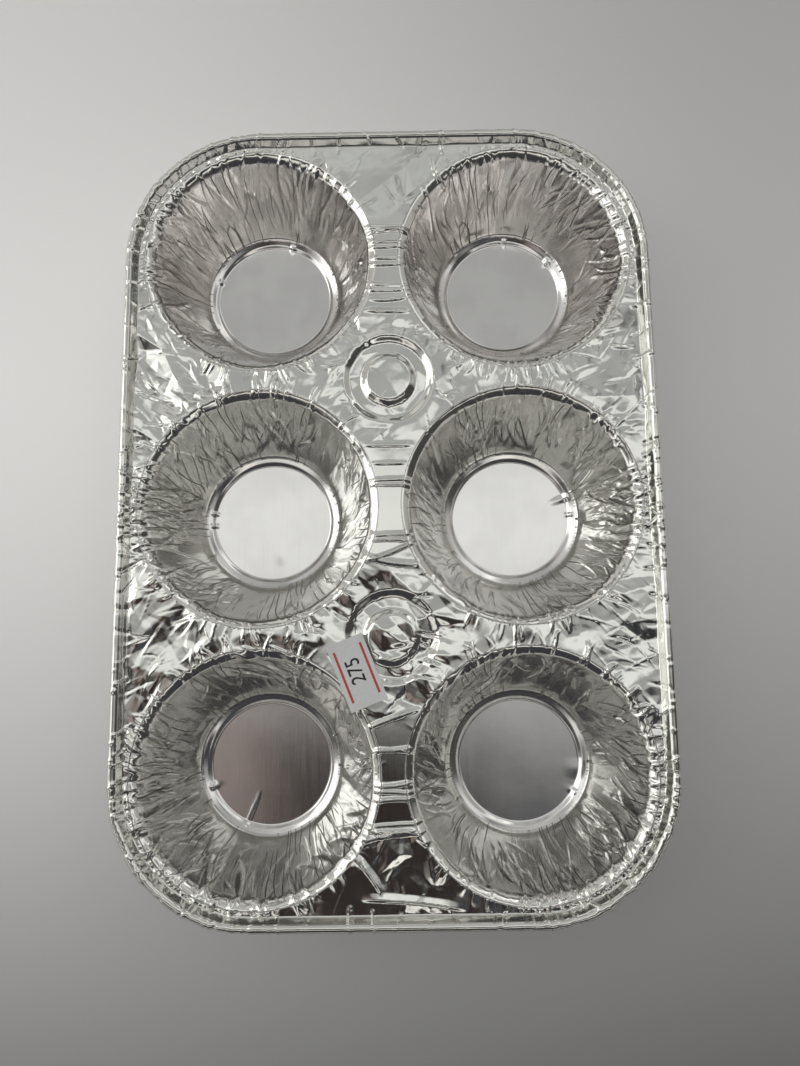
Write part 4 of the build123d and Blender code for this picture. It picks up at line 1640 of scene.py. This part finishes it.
class MUFFIN_OT_stage(TrayOperator, bpy.types.Operator):
    """Sets up the floor, the lights and the camera."""

    bl_idname = "muffin.stage"
    bl_label = "Stage"

    def execute(self, context):
        scene = context.scene
        scene.view_settings.view_transform = "Standard"
        self.lay_floor(scene)
        self.light_room(scene)
        self.hang_lamp(scene)
        self.place_camera(scene)
        return {"FINISHED"}

    def lay_floor(self, scene):
        """Lays the floor, whose colour has painted shade that darkens it away from the window."""
        mesh = bpy.data.meshes.new("floor")
        corners = [(x * FLOOR_HALF, y * FLOOR_HALF, 0) for x, y in ((-1, -1), (1, -1), (1, 1), (-1, 1))]
        mesh.from_pydata(corners, [], [(0, 1, 2, 3)])
        floor = link("floor", mesh)
        paint, shader, tree = new_material("floor")
        place = tree.place()
        split = tree.split(place)
        # Painted light and shade: the floor is brightest at the left of the tray's middle and darkens to the back, the
        # front and the right, with a dark band in front of the tray; far in front it is bright again
        towards_back = tree.ramp(split[1], 0.04, 0.24, 1.0, 0.82)
        towards_front = tree.ramp(split[1], -0.29, 0.06, 0.12, 1.0)
        towards_front = tree.math("MAXIMUM", towards_front, tree.ramp(split[1], -0.7, -0.35, 1.0, 0.0))
        towards_right = tree.ramp(split[0], -0.17, 0.16, 1.0, 0.6)
        level = tree.math("MULTIPLY", tree.math("MULTIPLY", towards_back, towards_front), towards_right)
        pale_with_painted_shade = tree.mix(level, (0, 0, 0, 1), FLOOR_COLOUR)
        speck = tree.noise(place, 900, 2)
        tree.link(pale_with_painted_shade, shader.inputs["Base Color"])
        tree.link(tree.bump(0.08, 0.0003, speck), shader.inputs["Normal"])
        shader.inputs["Roughness"].default_value = 0.55
        path = tree.add("ShaderNodeLightPath").outputs
        seen = tree.math("MAXIMUM", path["Is Camera Ray"], path["Is Glossy Ray"])
        tree.link(pale_with_painted_shade, shader.inputs["Emission Color"])
        tree.link(tree.math("MULTIPLY", seen, FLOOR_GLOW), shader.inputs["Emission Strength"])
        mesh.materials.append(paint)

    def light_room(self, scene):
        """Surrounds the tray with a plain studio of panels, which the foil mirrors and the camera doesn't see."""
        world = bpy.data.worlds.new("studio")
        scene.world = world
        world.use_nodes = True
        tree = Tree(world.node_tree)
        direction = tree.add("ShaderNodeTexCoord").outputs["Generated"]
        split = tree.split(direction)
        height = tree.math("MAXIMUM", split[2], 0.02)
        across = tree.math("DIVIDE", split[0], height)
        along = tree.math("DIVIDE", split[1], height)

        def panel(under, left, right, front, back, edge, colour):
            """Hangs a soft-edged panel overhead, over what is there."""
            sides = [
                tree.ramp(across, left - edge, left + edge),
                tree.ramp(across, right - edge, right + edge, 1.0, 0.0),
                tree.ramp(along, front - edge, front + edge),
                tree.ramp(along, back - edge, back + edge, 1.0, 0.0),
            ]
            shape = functools.reduce(lambda a, b: tree.math("MULTIPLY", a, b), sides)
            return tree.mix(shape, under, (*colour, 1))

        low = tree.ramp(split[2], 0.0, 0.75)
        side = tree.ramp(split[0], -0.5, 0.5)
        horizon = tree.mix(side, (0.50, 0.48, 0.46, 1), (0.38, 0.365, 0.36, 1))
        ceiling = tree.mix(tree.ramp(along, -0.5, 0.1), (0.225, 0.212, 0.203, 1), (0.42, 0.42, 0.42, 1))
        colour = tree.mix(low, horizon, ceiling)
        clutter = tree.noise(direction, 3.2, 1)
        clutter = tree.ramp(clutter, 0.4, 0.6, 0.35, 1.35)
        away = tree.ramp(split[2], 0.82, 0.9, 1.0, 0.0)
        shade = tree.math("ADD", tree.math("MULTIPLY", tree.math("SUBTRACT", clutter, 1.0), away), 1.0)
        shade = tree.add("ShaderNodeCombineXYZ", {0: shade, 1: shade, 2: shade}).outputs[0]
        colour = tree.vector("MULTIPLY", colour, shade)
        for sides in ROOM_PANELS:
            colour = panel(colour, *sides)
        along = tree.math("ADD", along, tree.math("MULTIPLY", across, PANEL_SKEW))
        for sides in SKEWED_PANELS:
            colour = panel(colour, *sides)
        backdrop = tree.add("ShaderNodeLightPath").outputs["Is Camera Ray"]
        colour = tree.mix(backdrop, colour, BACKDROP)
        background = world.node_tree.nodes["Background"]
        tree.link(colour, background.inputs["Color"])
        background.inputs["Strength"].default_value = scene.muffin_tray_stage.room

    def hang_lamp(self, scene):
        """Hangs the soft lamp at the window's side, facing the tray."""
        data = bpy.data.lights.new("window", "AREA")
        data.shape = "RECTANGLE"
        data.size, data.size_y = WINDOW_SIZE
        data.energy = WINDOW_WATTS * scene.muffin_tray_stage.lamp
        lamp = bpy.data.objects.new("window", data)
        scene.collection.objects.link(lamp)
        lamp.location = WINDOW_PLACE
        lamp.rotation_euler = (Vector((0, 0, 0)) - Vector(WINDOW_PLACE)).to_track_quat("-Z", "Y").to_euler()

    def place_camera(self, scene):
        """Sets the camera over the tray's front half, where the photograph was taken from."""
        data = bpy.data.cameras.new("camera")
        data.sensor_fit = "VERTICAL"
        data.sensor_height = SENSOR_HEIGHT
        data.lens = SENSOR_HEIGHT * FOCAL_PIXELS / IMAGE_HEIGHT
        data.clip_start = 0.01
        camera = bpy.data.objects.new("camera", data)
        scene.collection.objects.link(camera)
        camera.location = Vector(CAMERA_PLACE) * MM
        camera.rotation_euler = Euler([math.radians(a) for a in CAMERA_TURN])
        scene.camera = camera


class MUFFIN_PT_tray(bpy.types.Panel):
    """Lists the tray's sizes and its makers."""

    bl_idname = "MUFFIN_PT_tray"
    bl_label = "Muffin Tray"
    bl_space_type = "VIEW_3D"
    bl_region_type = "UI"
    bl_category = "Muffin Tray"

    def draw(self, context):
        for group in GROUPS:
            settings = getattr(context.scene, group)
            for name in settings.__annotations__:
                self.layout.prop(settings, name)
        for operator in MAKERS:
            self.layout.operator(operator.bl_idname)


MAKERS = (MUFFIN_OT_walls, MUFFIN_OT_deck, MUFFIN_OT_floors, MUFFIN_OT_rim, MUFFIN_OT_label, MUFFIN_OT_stage)
GROUPS = {
    "muffin_tray_foil": MuffinTrayFoil,
    "muffin_tray_label": MuffinTrayLabel,
    "muffin_tray_stage": MuffinTrayStage,
}
CLASSES = (*GROUPS.values(), *MAKERS, MUFFIN_PT_tray)


def register():
    for cls in CLASSES:
        bpy.utils.register_class(cls)
    for name, group in GROUPS.items():
        setattr(bpy.types.Scene, name, PointerProperty(type=group))


def unregister():
    for name in GROUPS:
        delattr(bpy.types.Scene, name)
    for cls in reversed(CLASSES):
        bpy.utils.unregister_class(cls)


def main():
    """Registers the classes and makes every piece."""
    register()
    bpy.ops.muffin.walls()
    bpy.ops.muffin.deck()
    bpy.ops.muffin.floors()
    bpy.ops.muffin.rim()
    bpy.ops.muffin.label()
    bpy.ops.muffin.stage()


if __name__ == "__main__":
    main()
